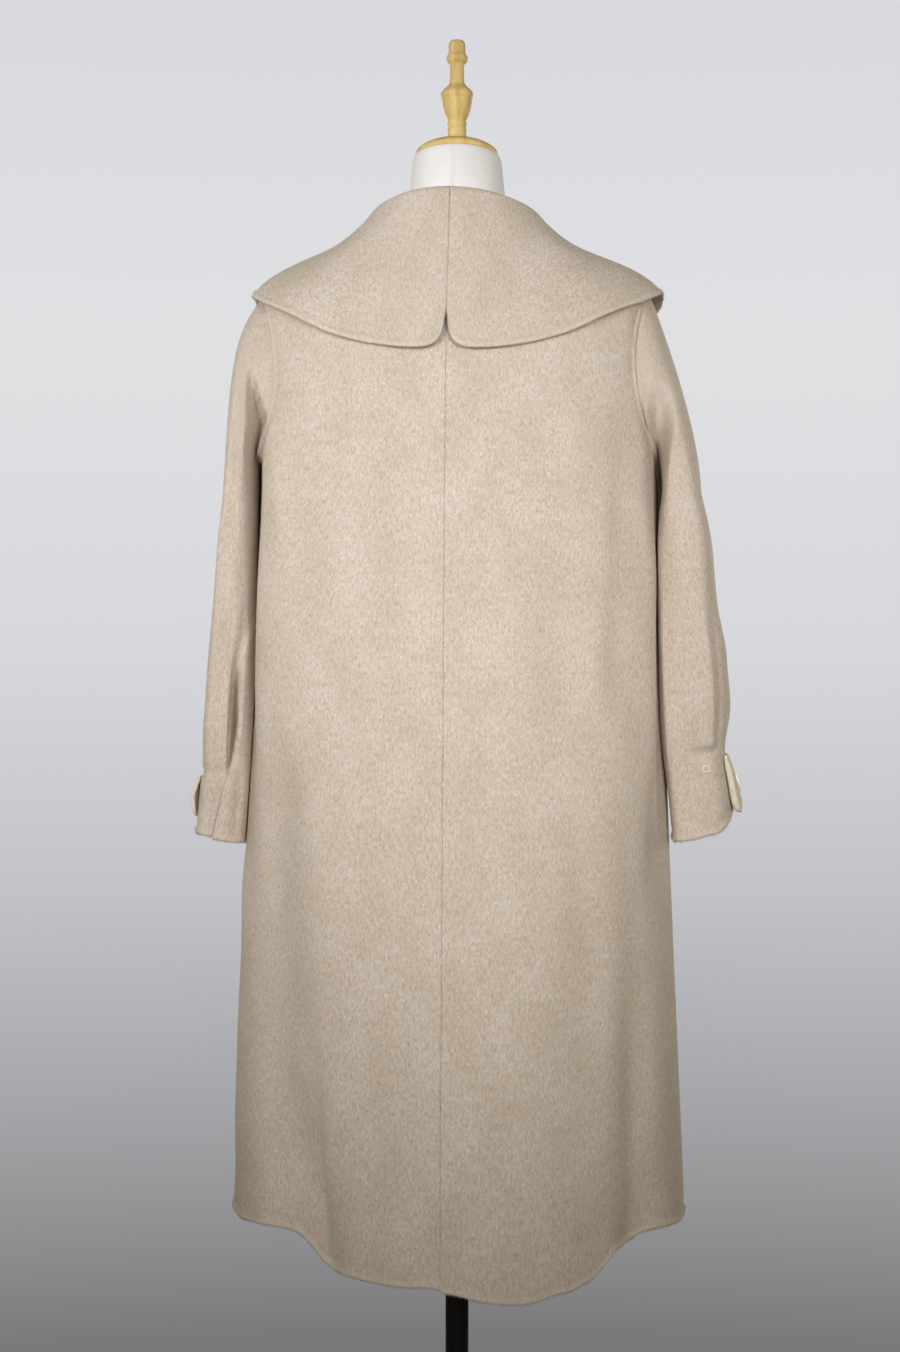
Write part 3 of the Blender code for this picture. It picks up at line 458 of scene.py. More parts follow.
COLLAR_CREASES = table(
    CREASE_COLUMNS,
    (26.0, 0.25, 34.0, 1.00, 0.0180, -0.0018, 0.2),
    (54.0, 0.40, 58.0, 1.00, 0.0200, 0.0022, 0.2),
    (76.0, 0.35, 73.0, 1.00, 0.0180, -0.0020, 0.2),
    (112.0, 0.30, 118.0, 1.00, 0.0200, 0.0022, 0.2),
    (140.0, 0.20, 137.0, 1.00, 0.0180, -0.0016, 0.2),
)

# Pleat laps: a lip that stands up along a line and eases away behind it.
RIGHT_PLEAT_LAPS = table(CREASE_COLUMNS, (62.0, 0.975, 58.0, 0.850, 0.0022, 0.0022, 0.020))
LAP_REACH = 0.016

# Deep fold along the left sleeve's back, between a first and a last turn at each height
LEFT_VALLEY = table(
    "height first last depth wall_in wall_out",
    (0.809, 108.0, 109.5, 0.0000, 0.0022, 0.0040),
    (0.823, 108.0, 115.0, 0.0150, 0.0022, 0.0050),
    (0.837, 108.1, 123.0, 0.0300, 0.0022, 0.0075),
    (0.852, 108.2, 131.0, 0.0400, 0.0022, 0.0105),
    (0.868, 108.3, 138.0, 0.0440, 0.0022, 0.0130),
    (0.885, 108.5, 141.0, 0.0430, 0.0026, 0.0140),
    (0.915, 110.0, 142.0, 0.0340, 0.0045, 0.0140),
    (0.945, 113.0, 143.0, 0.0180, 0.0080, 0.0140),
    (0.985, 122.0, 150.0, 0.0050, 0.0140, 0.0140),
    (1.030, 134.0, 165.0, 0.0000, 0.0140, 0.0140),
)
# Folds and hollows move the cloth along one direction on each side, not square to the sleeve.
LEFT_FOLD_WAY = np.array((-0.22, 0.975, 0.0))
RIGHT_FOLD_WAY = np.array((0.12, 0.993, 0.0))

# Hollows beside the armhole seams, by height. near and far are sideways reaches. The cloth drops over
# wall's width at the near side and comes back slowly to the far side. They lie behind the arm only.
GROOVE_BEHIND = 0.010
GROOVE_BEHIND_EASE = 0.030
GROOVE_SEAM_EASE = 0.003
GROOVE_COLUMNS = "height near far wall depth"
LEFT_GROOVE = table(
    GROOVE_COLUMNS,
    (0.905, 0.2050, 0.2270, 0.0060, 0.0000),
    (0.960, 0.2050, 0.2270, 0.0060, 0.0110),
    (1.013, 0.2050, 0.2266, 0.0060, 0.0230),
    (1.080, 0.2050, 0.2262, 0.0060, 0.0330),
    (1.122, 0.2050, 0.2260, 0.0060, 0.0360),
    (1.166, 0.2040, 0.2258, 0.0060, 0.0380),
    (1.188, 0.1990, 0.2258, 0.0075, 0.0420),
    (1.202, 0.1960, 0.2256, 0.0075, 0.0430),
    (1.210, 0.1985, 0.2255, 0.0065, 0.0410),
    (1.224, 0.2030, 0.2252, 0.0050, 0.0350),
    (1.238, 0.2075, 0.2248, 0.0040, 0.0250),
    (1.248, 0.2106, 0.2245, 0.0035, 0.0150),
    (1.256, 0.2122, 0.2240, 0.0035, 0.0070),
    (1.264, 0.2135, 0.2235, 0.0035, 0.0000),
)
RIGHT_GROOVE = table(
    GROOVE_COLUMNS,
    (1.070, 0.2140, 0.2290, 0.0060, 0.0000),
    (1.106, 0.2140, 0.2300, 0.0060, 0.0160),
    (1.122, 0.2140, 0.2325, 0.0060, 0.0300),
    (1.144, 0.2130, 0.2350, 0.0060, 0.0420),
    (1.166, 0.2120, 0.2370, 0.0060, 0.0440),
    (1.187, 0.2110, 0.2410, 0.0060, 0.0380),
    (1.204, 0.2085, 0.2440, 0.0090, 0.0260),
    (1.224, 0.2080, 0.2430, 0.0130, 0.0130),
    (1.242, 0.2080, 0.2420, 0.0130, 0.0000),
)
# Dimples and bulges of the sleeves: across and along are their sizes round and down the sleeve
DIMPLE_COLUMNS = "turn height across along depth"
LEFT_DIMPLES = table(
    DIMPLE_COLUMNS,
    (24.0, 0.8240, 0.060, 0.0050, -0.0026),
    (20.0, 0.8700, 0.060, 0.0240, 0.0022),
    (60.0, 0.8050, 0.020, 0.0100, 0.0014),
    (82.0, 0.9600, 0.018, 0.0300, -0.0014),
)
RIGHT_DIMPLES = table(
    DIMPLE_COLUMNS,
    (66.0, 0.8460, 0.011, 0.0062, -0.0058),
    (80.0, 0.8440, 0.012, 0.0050, -0.0022),
    (66.0, 0.8600, 0.016, 0.0070, 0.0016),
    (20.0, 0.9000, 0.030, 0.0260, 0.0016),
)
# Small waves that keep wide cloth from looking machine-smooth
CLOTH_WAVES = table(
    "across along start depth",
    (0.230, 0.410, 0.4, 0.0007),
    (-0.170, 0.290, 2.1, 0.0006),
    (0.094, 0.520, 1.1, 0.0004),
    (0.061, -0.170, 3.3, 0.00025),
)

# The share of the waves that a sleeve shows, and its rough radius
SLEEVE_WAVES = 0.6
SLEEVE_RADIUS = 0.06

# Loose hairs of the nap along the turned edges
HAIRS_PER_METRE = 8000.0
HAIR_SHORT = 0.0010
HAIR_LONG = 0.0038
HAIR_RADIUS = 0.00017
HAIR_INSIDE = 5
HAIR_SPREAD = 0.50
# How far a hair leans out past the edge and stands off the face. Hairs further in stand off more.
HAIR_OUT = 1.1
HAIR_STAND = 0.15
HAIR_STAND_INSIDE = 0.5
# Corners of a hair in its own cell of the map, and its faces
HAIR_CELL = np.array(((0.1, 0.1), (0.9, 0.1), (0.5, 0.4), (0.5, 0.9)))
HAIR_FACES = np.array(((0, 1, 3), (1, 2, 3), (2, 0, 3), (2, 1, 0)))

# Flat sizes the pieces were cut to
Cut = namedtuple("Cut", "width length area")


# Small helpers for numbers

def smooth(value):
    """Ease from 0 to 1."""
    value = np.clip(value, 0.0, 1.0)
    return value * value * (3.0 - 2.0 * value)


def unit(vectors):
    """Vectors at length one."""
    length = np.linalg.norm(vectors, axis=-1, keepdims=True)
    return vectors / np.maximum(length, 1e-12)


def column_curve(rows, key, name, at):
    """Read one table column at any place, on a smooth curve that does not overshoot."""
    place = np.array([getattr(row, key) for row in rows], dtype=float)
    value = np.array([getattr(row, name) for row in rows], dtype=float)
    at = np.asarray(at, dtype=float)
    width = np.diff(place)
    slope = np.diff(value) / width
    tangent = np.empty_like(value)
    tangent[0] = slope[0]
    tangent[-1] = slope[-1]
    for row in range(1, len(value) - 1):
        before = slope[row - 1]
        after = slope[row]
        tangent[row] = 2.0 * before * after / (before + after) if before * after > 0.0 else 0.0
    span = np.clip(np.searchsorted(place, at) - 1, 0, len(width) - 1)
    step = width[span]
    t = (at - place[span]) / step
    rise = value[span] * (2 * t ** 3 - 3 * t ** 2 + 1) + value[span + 1] * (3 * t ** 2 - 2 * t ** 3)
    lean = tangent[span] * (t ** 3 - 2 * t ** 2 + t) + tangent[span + 1] * (t ** 3 - t ** 2)
    return rise + step * lean


def points(x, y, z):
    """Stack coordinates into an array of points."""
    return np.stack(np.broadcast_arrays(x, y, z), axis=-1)


def wrapped(turn):
    """An angle between minus and plus half a turn."""
    return (turn + math.pi) % (2.0 * math.pi) - math.pi


# Coat body as one surface: theta turns from the wearer's left round the back

def body(theta, level):
    """Outer surface of the coat body."""
    theta, level = np.broadcast_arrays(np.asarray(theta, dtype=float), np.asarray(level, dtype=float))

    def column(name):
        return column_curve(BODY_RINGS, "level", name, level)

    across = np.cos(theta)
    along = np.sin(theta)
    is_back = along >= 0.0
    depth = np.where(is_back, column("depth_back"), column("depth_front"))
    end = np.where(is_back, column("back"), column("front"))
    full = 1.0 + column("square") * np.sin(2.0 * theta) ** 2
    turned_in = np.arcsin(np.clip(np.abs(along), 0.0, 1.0))
    step = column("step")
    change = (1.0 - step) * np.abs(along) ** 3 + step * smooth((turned_in - STEP_START) / STEP_WIDTH)
    behind = np.clip(np.degrees(wrapped(theta)), 0.0, 180.0)
    trimmed = column_curve(HEM_TRIM, "turn", "rise", behind) * smooth((HEM + TRIM_REACH - level) / TRIM_REACH)
    height = level + (end - level) * change + trimmed
    push = np.zeros_like(level)
    for fold in BODY_FOLDS:
        near = np.exp(-(wrapped(theta - math.radians(fold.angle)) / math.radians(fold.spread)) ** 2)
        push = push + fold.depth * near * smooth((fold.fade - level) / (fold.fade - HEM)) ** FOLD_FADE
    return points(across * (column("half_width") * full + push), along * (depth * full + push), height)


def body_slopes(theta, level):
    """Surface directions round and up the body."""
    step = SLOPE_STEP
    round_way = (body(theta + step, level) - body(theta - step, level)) / (2.0 * step)
    up_way = (body(theta, level + step) - body(theta, level - step)) / (2.0 * step)
    return round_way, up_way


def body_normal(theta, level):
    """Outward direction of the body."""
    round_way, up_way = body_slopes(theta, level)
    return unit(np.cross(round_way, up_way))


def side_angle(side, theta):
    """Angle on the left side, or its mirror image on the right."""
    return theta if side > 0 else math.pi - theta


def neck_seam(theta):
    """Seam point, wall direction and the way into the collar."""
    theta = np.asarray(theta, dtype=float)
    level = np.full_like(theta, NECK)
    place = body(theta, level)
    outward = unit(place * np.array([1.0, 1.0, 0.0]))
    normal = unit(body_normal(theta, level) + outward)
    round_way, up_way = body_slopes(theta, level)
    onward = unit(np.cross(normal, round_way))
    facing = np.sign(np.sum(onward * up_way, axis=-1, keepdims=True))
    return place, normal, onward * facing


# Sleeves as surfaces: phi turns from the outer side round the back

def armhole_turn(side, phi):
    """How far the armhole loop lies from the side of the body."""
    along = np.sin(phi)
    turn = along * np.where(along >= 0.0, ARM_BACK, ARM_FRONT)
    if side > 0:
        squarer = np.exp(-(wrapped(phi - ARM_SQUARE_TURN) / ARM_SQUARE_SPREAD) ** 2)
        turn = turn * np.maximum(np.abs(along), TINY) ** (-ARM_SQUARE * squarer)
        turn = turn + ARM_CUT_IN * along * np.exp(-(wrapped(phi - ARM_CUT_TURN) / ARM_CUT_SPREAD) ** 2)
    return turn


def armhole_angles(side, phi):
    """Body angle and level of the armhole loop."""
    return side_angle(side, armhole_turn(side, phi)), ARM_LEVEL + ARM_HALF * np.cos(phi)


def sleeve_ring(side, phi, height):
    """One ring of the hanging sleeve."""
    phi, height = np.broadcast_arrays(np.asarray(phi, dtype=float), np.asarray(height, dtype=float))

    word = "left" if side > 0 else "right"

    def column(name):
        return column_curve(SLEEVE_RINGS[::-1], "height", name, height)

    def corner(name):
        return column_curve(SLEEVE_CORNERS[::-1], "height", word + name, height)

    outer = column("outer_" + word)
    inner = column("inner_" + word)
    valley = 0.0 if side > 0 else column("valley")
    corner_turn = np.radians(corner("_turn"))
    full = 1.0 + SLEEVE_SQUARE * np.sin(2.0 * phi) ** 2
    pull = valley * np.exp(-(wrapped(phi - SEAM_BACK) / VALLEY_SPREAD) ** 2)
    rise = CUFF_RISE_LEFT if side > 0 else CUFF_RISE_RIGHT
    low = smooth((CUFF_EASE_TOP - height) / CUFF_EASE)
    lift = rise * low * smooth(0.5 + 0.5 * np.cos(phi))
    if side > 0:
        lift = lift - CUFF_DROP_LEFT * low * smooth(0.5 - 0.5 * np.cos(phi))
    else:
        near = smooth((CORNER_TURN - np.abs(wrapped(phi))) / CORNER_EASE)
        lower = smooth((CORNER_RISE_TOP - height) / CORNER_RISE_EASE)
        lift = lift + (CORNER_RISE_RIGHT * near - CUFF_DROP_RIGHT * (1.0 - near)) * lower
    x = 0.5 * (outer + inner) + 0.5 * (outer - inner) * np.cos(phi) * full
    x = x - corner("_tuck") * np.exp(-(wrapped(phi - corner_turn - TUCK_BEYOND) / TUCK_SPREAD) ** 2)
    y = column("centre_y") + (column("half_depth") * full - pull) * np.sin(phi)
    y = y + corner("_out") * np.exp(-(wrapped(phi - corner_turn) / CORNER_SPREAD) ** 2)
    return points(side * x, y, height + lift)


def hang(height):
    """Fall of a height on the hanging part of a sleeve."""
    top = SLEEVE_RINGS[0].height
    cuff = SLEEVE_RINGS[-1].height
    return 1.0 + (top - height) / (top - cuff)


def sleeve(side, phi, fall):
    """Outer surface of a sleeve: fall 0 to 1 is the cap, 1 to 2 the hanging part."""
    phi, fall = np.broadcast_arrays(np.asarray(phi, dtype=float), np.asarray(fall, dtype=float))
    top = SLEEVE_RINGS[0].height
    cuff = SLEEVE_RINGS[-1].height
    cap = np.clip(fall, -OVERRUN, 1.0)
    height = top + (cuff - top) * np.clip(fall - 1.0, 0.0, 1.0 + OVERRUN)
    ring = sleeve_ring(side, phi, height)
    share = CAP_SHARE_LEFT if side > 0 else CAP_SHARE_RIGHT
    sharp = CAP_SHARP_LEFT if side > 0 else CAP_SHARP_RIGHT
    spread = share * (1.0 - (1.0 - cap) ** sharp) + (1.0 - share) * cap
    blend = points(spread, spread, cap)
    theta, level = armhole_angles(side, phi)
    return body(theta, level) * (1.0 - blend) + ring * blend


def sleeve_slopes(side, phi, fall):
    """Surface directions round and down a sleeve."""
    step = SLOPE_STEP
    round_way = (sleeve(side, phi + step, fall) - sleeve(side, phi - step, fall)) / (2.0 * step)
    down_way = (sleeve(side, phi, fall + step) - sleeve(side, phi, fall - step)) / (2.0 * step)
    return round_way, down_way


def sleeve_normal(side, phi, fall):
    """Outward direction of a sleeve."""
    round_way, down_way = sleeve_slopes(side, phi, fall)
    return unit(np.cross(down_way, round_way)) * side


def armhole_seam(side, phi):
    """Wall direction and the way into the sleeve along the armhole."""
    phi = np.asarray(phi, dtype=float)
    theta, level = armhole_angles(side, phi)
    start = np.zeros_like(phi)
    normal = unit(body_normal(theta, level) + sleeve_normal(side, phi, start))
    round_way, down_way = sleeve_slopes(side, phi, start)
    onward = unit(np.cross(normal, round_way))
    facing = np.sign(np.sum(onward * unit(down_way), axis=-1, keepdims=True))
    return normal, onward * facing


# Creases

def line_offsets(crease, turn, height, turn_speed):
    """Distance from a crease's line, and how much of the crease is left past its ends."""
    low = min(crease.height_top, crease.height_end)
    high = max(crease.height_top, crease.height_end)
    share = np.clip((height - crease.height_top) / (crease.height_end - crease.height_top), 0.0, 1.0)
    line = np.radians(crease.turn_top + (crease.turn_end - crease.turn_top) * share)
    past = (height - np.clip(height, low, high)) / crease.run_out
    return wrapped(turn - line) * turn_speed, np.exp(-past ** 2)


def crease_push(creases, turn, height, turn_speed):
    """Sum of soft troughs and ridges."""
    push = np.zeros_like(turn)
    for crease in creases:
        off_line, left = line_offsets(crease, turn, height, turn_speed)
        push = push + crease.depth * np.exp(-(off_line / crease.spread) ** 2) * left
    return push


def lap_push(laps, turn, height, turn_speed):
    """Lips of laid pleats, sharp on one side."""
    push = np.zeros_like(turn)
    for lap in laps:
        off_line, left = line_offsets(lap, turn, height, turn_speed)
        lip = smooth(0.5 + off_line / (2.0 * lap.spread)) * np.exp(-np.maximum(off_line, 0.0) / LAP_REACH)
        push = push + lap.depth * lip * left
    return push


def valley_push(rows, turn, height, turn_speed):
    """Deep fold between two lines, with a steep first wall."""
    def column(name):
        return column_curve(rows, "height", name, np.clip(height, rows[0].height, rows[-1].height))

    round_turn = turn % (2.0 * math.pi)
    into = smooth((round_turn - np.radians(column("first"))) * turn_speed / column("wall_in"))
    out_of = smooth((np.radians(column("last")) - round_turn) * turn_speed / column("wall_out"))
    return -column("depth") * into * out_of


def groove_push(rows, surface):
    """Hollow that runs beside the armhole seam, steep on the seam's side."""
    def column(name):
        return column_curve(rows, "height", name, np.clip(surface[..., 2], rows[0].height, rows[-1].height))

    near = column("near")
    wall = column("wall")
    rest = column("far") - near - wall
    past = np.abs(surface[..., 0]) - near
    behind = smooth((surface[..., 1] - GROOVE_BEHIND) / GROOVE_BEHIND_EASE)
    sewn = smooth(edge_distances(surface)[2] / GROOVE_SEAM_EASE)
    hollow = smooth(past / wall) * (1.0 - smooth((past - wall) / rest)) * behind * sewn
    return -column("depth") * hollow


def dimple_push(dimples, turn, height, turn_speed):
    """Sum of dimples and bulges."""
    push = np.zeros_like(turn)
    for dimple in dimples:
        across = wrapped(turn - math.radians(dimple.turn)) * turn_speed / dimple.across
        push = push + dimple.depth * np.exp(-across ** 2 - ((height - dimple.height) / dimple.along) ** 2)
    return push


def wave_push(across, along):
    """Small waves in wide cloth."""
    push = np.zeros_like(across)
    for wave in CLOTH_WAVES:
        turns = across / wave.across + along / wave.along
        push = push + wave.depth * np.sin(2.0 * math.pi * turns + wave.start)
    return push


# Cloth shells

def edge_distances(surface):
    """Distance of each point of a grid from its first and last column and its first and last row."""
    along_row = np.linalg.norm(np.diff(surface, axis=1), axis=-1)
    along_column = np.linalg.norm(np.diff(surface, axis=0), axis=-1)
    zero_column = np.zeros((surface.shape[0], 1))
    zero_row = np.zeros((1, surface.shape[1]))
    from_first = np.concatenate([zero_column, np.cumsum(along_row, axis=1)], axis=1)
    from_low = np.concatenate([zero_row, np.cumsum(along_column, axis=0)], axis=0)
    return from_first, from_first[:, -1:] - from_first, from_low, from_low[-1:] - from_low


def edge_shape(distances, edges):
    """Share of the full thickness, lift of the rim and extra outward push near the edges."""
    share = np.ones_like(distances[0])
    lift = np.zeros_like(share)
    push = np.zeros_like(share)
    for distance, edge in zip(distances, edges):
        inside = np.clip(distance / edge.radius, 0.0, 1.0)
        own_share = np.sqrt(1.0 - (1.0 - inside) ** 2)
        lift = np.where(own_share < share, edge.lift * (1.0 - own_share), lift)
        share = np.minimum(share, own_share)
        push = push + edge.roll * np.exp(-((distance - edge.roll_at) / edge.roll_spread) ** 2)
        push = push - edge.dent * np.exp(-((distance - edge.dent_at) / (DENT_SPREAD * edge.dent_at)) ** 2)
    return share, lift, push * share


def rest_object(name, mesh, material):
    """Link a finished mesh as a piece of the object that rides on its one body."""
    thing = bpy.data.objects.new(name, mesh)
    bpy.context.scene.collection.objects.link(thing)
    mesh.materials.append(material)
    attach(thing, "root")
    return thing


def shell_mesh(name, outer, inner, flat, edge_highlight):
    """Closed mesh of two grids of points that meet along their edges."""
    rows, columns = outer.shape[:2]
    shell = bmesh.new()
    grain = shell.loops.layers.uv.new("grain")
    # The edge value kept on each point is its share of painted highlight along rolled edges and welts
    tone = shell.verts.layers.float.new("edge")
    bmesh.ops.create_grid(shell, x_segments=columns - 1, y_segments=rows - 1, size=0.5)
    copy = bmesh.ops.duplicate(shell, geom=shell.verts[:] + shell.edges[:] + shell.faces[:])
    back = [item for item in copy["geom"] if isinstance(item, bmesh.types.BMFace)]
    bmesh.ops.reverse_faces(shell, faces=back)
    inner_points = {item for item in copy["geom"] if isinstance(item, bmesh.types.BMVert)}
    for vert in shell.verts:
        column = round((vert.co.x + 0.5) * (columns - 1))
        row = round((vert.co.y + 0.5) * (rows - 1))
        for loop in vert.link_loops:
            loop[grain].uv = flat[row, column]
        vert[tone] = edge_highlight[row, column]
        vert.co = (inner if vert in inner_points else outer)[row, column]
    bmesh.ops.remove_doubles(shell, verts=shell.verts[:], dist=TINY)
    if shell.calc_volume(signed=True) < 0.0:
        bmesh.ops.reverse_faces(shell, faces=shell.faces[:])
    mesh = bpy.data.meshes.new(name)
    shell.to_mesh(mesh)
    shell.free()
    mesh.shade_smooth()
    return mesh


def cloth_skins(surface, normal, edges, thick=CLOTH):
    """Outer and inner grids of a cloth wall under a surface, and the painted highlight along its turned
    edges.
    """
    distances = edge_distances(surface)
    share, lift, push = edge_shape(distances, edges)
    thick = np.broadcast_to(thick, share.shape)
    middle = surface - normal * (0.5 * thick)[..., None]
    outer = middle + normal * (0.5 * thick * (lift + share) + push)[..., None]
    inner = middle + normal * (0.5 * thick * (lift - share))[..., None]
    # Painted highlight along each edge, strongest at the rim, where the roll catches the light
    turned = np.zeros_like(share)
    for distance, edge in zip(distances, edges):
        turned = np.maximum(turned, edge.tone * np.exp(-(distance / edge.tone_reach) ** 4))
    return outer, inner, turned


def hair_roots(outer, inner, chance):
    """Roots and directions of loose hairs along a skin's first row, most of them near the very edge."""
    edge = outer[0]
    travel = np.concatenate([[0.0], np.cumsum(np.linalg.norm(np.diff(edge, axis=0), axis=-1))])
    count = int(travel[-1] * HAIRS_PER_METRE)
    at = chance.uniform(0.0, travel[-1], count)

    def along(row):
        return np.stack([np.interp(at, travel, row[:, axis]) for axis in range(3)], axis=-1)

    rim = along(edge)
    inside = along(outer[HAIR_INSIDE])
    inward = chance.uniform(0.0, 1.0, (count, 1)) ** 2
    face_way = unit(inside - along(inner[HAIR_INSIDE]))
    way = unit(rim - inside) * (HAIR_OUT - inward) + face_way * (HAIR_STAND + HAIR_STAND_INSIDE * inward)
    way = unit(way + chance.normal(0.0, HAIR_SPREAD, (count, 3)))
    return rim + (inside - rim) * inward, way


def edge_nap(name, rims, hair):
    """Loose wool hairs along turned edges: closed three-sided cones, each with its own map cell."""
    chance = np.random.default_rng(len(name))
    grown = [hair_roots(outer, inner, chance) for outer, inner in rims]
    root = np.concatenate([place for place, _ in grown])
    way = np.concatenate([direction for _, direction in grown])
    count = len(root)
    across = unit(np.cross(way, chance.normal(0.0, 1.0, (count, 3))))
    other = np.cross(way, across)
    corners = [root + HAIR_RADIUS * (across * math.cos(turn) + other * math.sin(turn))
               for turn in (0.0, 2.0 * math.pi / 3.0, 4.0 * math.pi / 3.0)]
    corners.append(root + way * chance.uniform(HAIR_SHORT, HAIR_LONG, (count, 1)))
    corners = np.stack(corners, axis=1)
    faces = HAIR_FACES + 4 * np.arange(count)[:, None, None]
    mesh = bpy.data.meshes.new(name)
    mesh.from_pydata(corners.reshape(-1, 3).tolist(), [], faces.reshape(-1, 3).tolist())
    cells = math.ceil(math.sqrt(count))
    cell = np.stack([np.arange(count) % cells, np.arange(count) // cells], axis=-1)
    spots = (cell[:, None, :] + HAIR_CELL[HAIR_FACES.ravel()]) / cells
    mesh.uv_layers.new(name="OFBake").data.foreach_set("uv", spots.ravel())
    mesh.shade_smooth()
    rest_object(name, mesh, hair)


def cloth_piece(name, skins, flat, wool):
    """Finished cloth that stands for its node, with its flat layout as its grain map."""
    outer, inner, turned = skins
    piece = rest_object(name + "_cloth", shell_mesh(name, outer, inner, flat, turned), wool)
    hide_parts(name)


def even_stations(lengths, middle):
    """Distances along each row: close together at both ends, even between."""
    share = np.linspace(0.0, 1.0, middle + 1)[1:-1]
    first = np.broadcast_to(EDGE_ROWS, (len(lengths), len(EDGE_ROWS)))
    last = lengths[:, None] - EDGE_ROWS[::-1]
    between = EDGE_ROWS[-1] + (lengths[:, None] - 2.0 * EDGE_ROWS[-1]) * share
    return np.concatenate([first, between, last], axis=1)


def place_columns(angles, surface, middle):
    """Angles at even stations along each row of a dense grid."""
    steps = np.linalg.norm(np.diff(surface, axis=1), axis=-1)
    travel = np.concatenate([np.zeros((len(steps), 1)), np.cumsum(steps, axis=1)], axis=1)
    stations = even_stations(travel[:, -1], middle)
    placed = np.empty_like(stations)
    for row in range(len(stations)):
        placed[row] = np.interp(stations[row], travel[row], angles[row])
    return placed, stations


# Coat panels

def panel_rows():
    """Levels of the panel rows and how far the armhole cuts in on each."""
    hem_rows = HEM + EDGE_ROWS
    skirt = np.linspace(hem_rows[-1], ARM_LEVEL - ARM_HALF, SKIRT_ROWS)[1:-1]
    phi = np.linspace(math.pi, 0.0, ARMHOLE_ROWS)
    neck_rows = NECK - EDGE_ROWS[::-1]
    shoulder = np.linspace(ARM_LEVEL + ARM_HALF, neck_rows[0], SHOULDER_ROWS)[1:-1]
    levels = np.concatenate([hem_rows, skirt, ARM_LEVEL + ARM_HALF * np.cos(phi), shoulder, neck_rows])
    cut = np.zeros_like(levels)
    first_arm = len(hem_rows) + len(skirt)
    cut[first_arm:first_arm + len(phi)] = np.sin(phi)
    return levels, cut


def lap_angle(theta, level):
    """How far a front passes the centre front, as an angle."""
    round_way, _ = body_slopes(theta, level)
    width = LAP * smooth((LAP_TOP - level) / LAP_TAPER)
    return width / np.linalg.norm(round_way, axis=-1)


def panel_grid(side, is_back, levels, start):
    """Angle from the side, distance from the side seam and level of each point of a panel."""
    way = 1.0 if is_back else -1.0
    finish = np.full_like(levels, 0.5 * math.pi)
    if not is_back:
        finish = finish + lap_angle(-finish, levels)
    dense = np.linspace(0.0, 1.0, PANEL_DENSE)
    own = start[:, None] + (finish - start)[:, None] * dense
    level = np.broadcast_to(levels[:, None], own.shape)
    own, stations = place_columns(own, body(side_angle(side, way * own), level), PANEL_MIDDLE)
    return own, stations, np.broadcast_to(levels[:, None], own.shape)


def panel_push(side, is_back, own, stations, level):
    """How far creases, waves and the lap push a panel out."""
    way = 1.0 if is_back else -1.0
    theta = side_angle(side, way * own)
    round_way, _ = body_slopes(theta, level)
    speed = np.linalg.norm(round_way, axis=-1)
    across = stations[:, -1:] - stations
    push = crease_push(BODY_CREASES, theta, level, speed) + wave_push(across * side * way, level)
    fixed = smooth((stations - SEAM_HELD) / SEAM_EASE) * smooth((NECK - level) / NECK_EASE)
    fixed = fixed * smooth((across + CENTRE_FREE) / SEAM_EASE)
    push = push * fixed
    if not is_back and side < 0:
        past = (own - 0.5 * math.pi) * speed
        lift = smooth((past + LAP + LAP_LIFT_START) / LAP_LIFT_EASE)
        lift = lift * smooth((NECK - level) / (NECK - LAP_TOP))
        push = push + (2.0 * CLOTH + 2.0 * SEAM) * lift
    return push


def panel(name, side, is_back, wool, hair):
    """A back or front panel from its side seam to the centre."""
    levels, cut = panel_rows()
    way = 1.0 if is_back else -1.0
    phi = np.arccos(np.clip((levels - ARM_LEVEL) / ARM_HALF, -1.0, 1.0))
    phi = phi if is_back else 2.0 * math.pi - phi
    start = np.where(cut > TINY, np.abs(armhole_turn(side, phi)), 0.0)
    own, stations, level = panel_grid(side, is_back, levels, start)
    theta = side_angle(side, way * own)
    normal = body_normal(theta, level)
    push = panel_push(side, is_back, own, stations, level)
    surface = body(theta, level) + normal * push[..., None]
    sewn = np.clip(1.0 - stations / SEWN_WIDTH, 0.0, 1.0) * (cut > 0.0)[:, None]
    seam_normal, _ = armhole_seam(side, phi)
    normal = unit(normal * (1.0 - sewn[..., None]) + seam_normal[:, None, :] * sewn[..., None])
    normal[-1] = neck_seam(theta[-1])[1]
    edges = (ARMHOLE_EDGE, CENTRE_SEAM if is_back else TURNED_EDGE, HEM_EDGE, SIDE_SEAM)
    skins = cloth_skins(surface, normal, edges)
    flat = np.stack([(stations[:, -1:] - stations) * side * way, level], axis=-1)
    cloth_piece(name, skins, flat, wool)
    rims = [skins[:2]]
    if not is_back and side < 0:
        rims.append([skin.swapaxes(0, 1)[::-1] for skin in skins[:2]])
    edge_nap(name + "_nap", rims, hair)


def body_reach(side, surface):
    """How far out the coat body stands, creases and all, at each point's height and depth."""
    theta = side_angle(side, REACH_TURNS)
    reach = []
    for level in REACH_LEVELS:
        row = np.full_like(theta, level)
        speed = np.linalg.norm(body_slopes(theta, row)[0], axis=-1)
        fixed = smooth((np.abs(REACH_TURNS) * speed - SEAM_HELD) / SEAM_EASE)
        push = crease_push(BODY_CREASES, theta, row, speed) * fixed
        place = body(theta, row) + body_normal(theta, row) * push[..., None]
        order = np.argsort(place[:, 1])
        reach.append(np.interp(surface[..., 1], place[order, 1], np.abs(place[order, 0])))
    step = REACH_LEVELS[1] - REACH_LEVELS[0]
    at = np.clip((surface[..., 2] - REACH_LEVELS[0]) / step, 0.0, len(REACH_LEVELS) - 1.001)
    low = at.astype(int)[None]
    reach = np.stack(reach)
    below = np.take_along_axis(reach, low, axis=0)[0]
    above = np.take_along_axis(reach, low + 1, axis=0)[0]
    return below + (above - below) * (at - low[0])


# Sleeve pieces

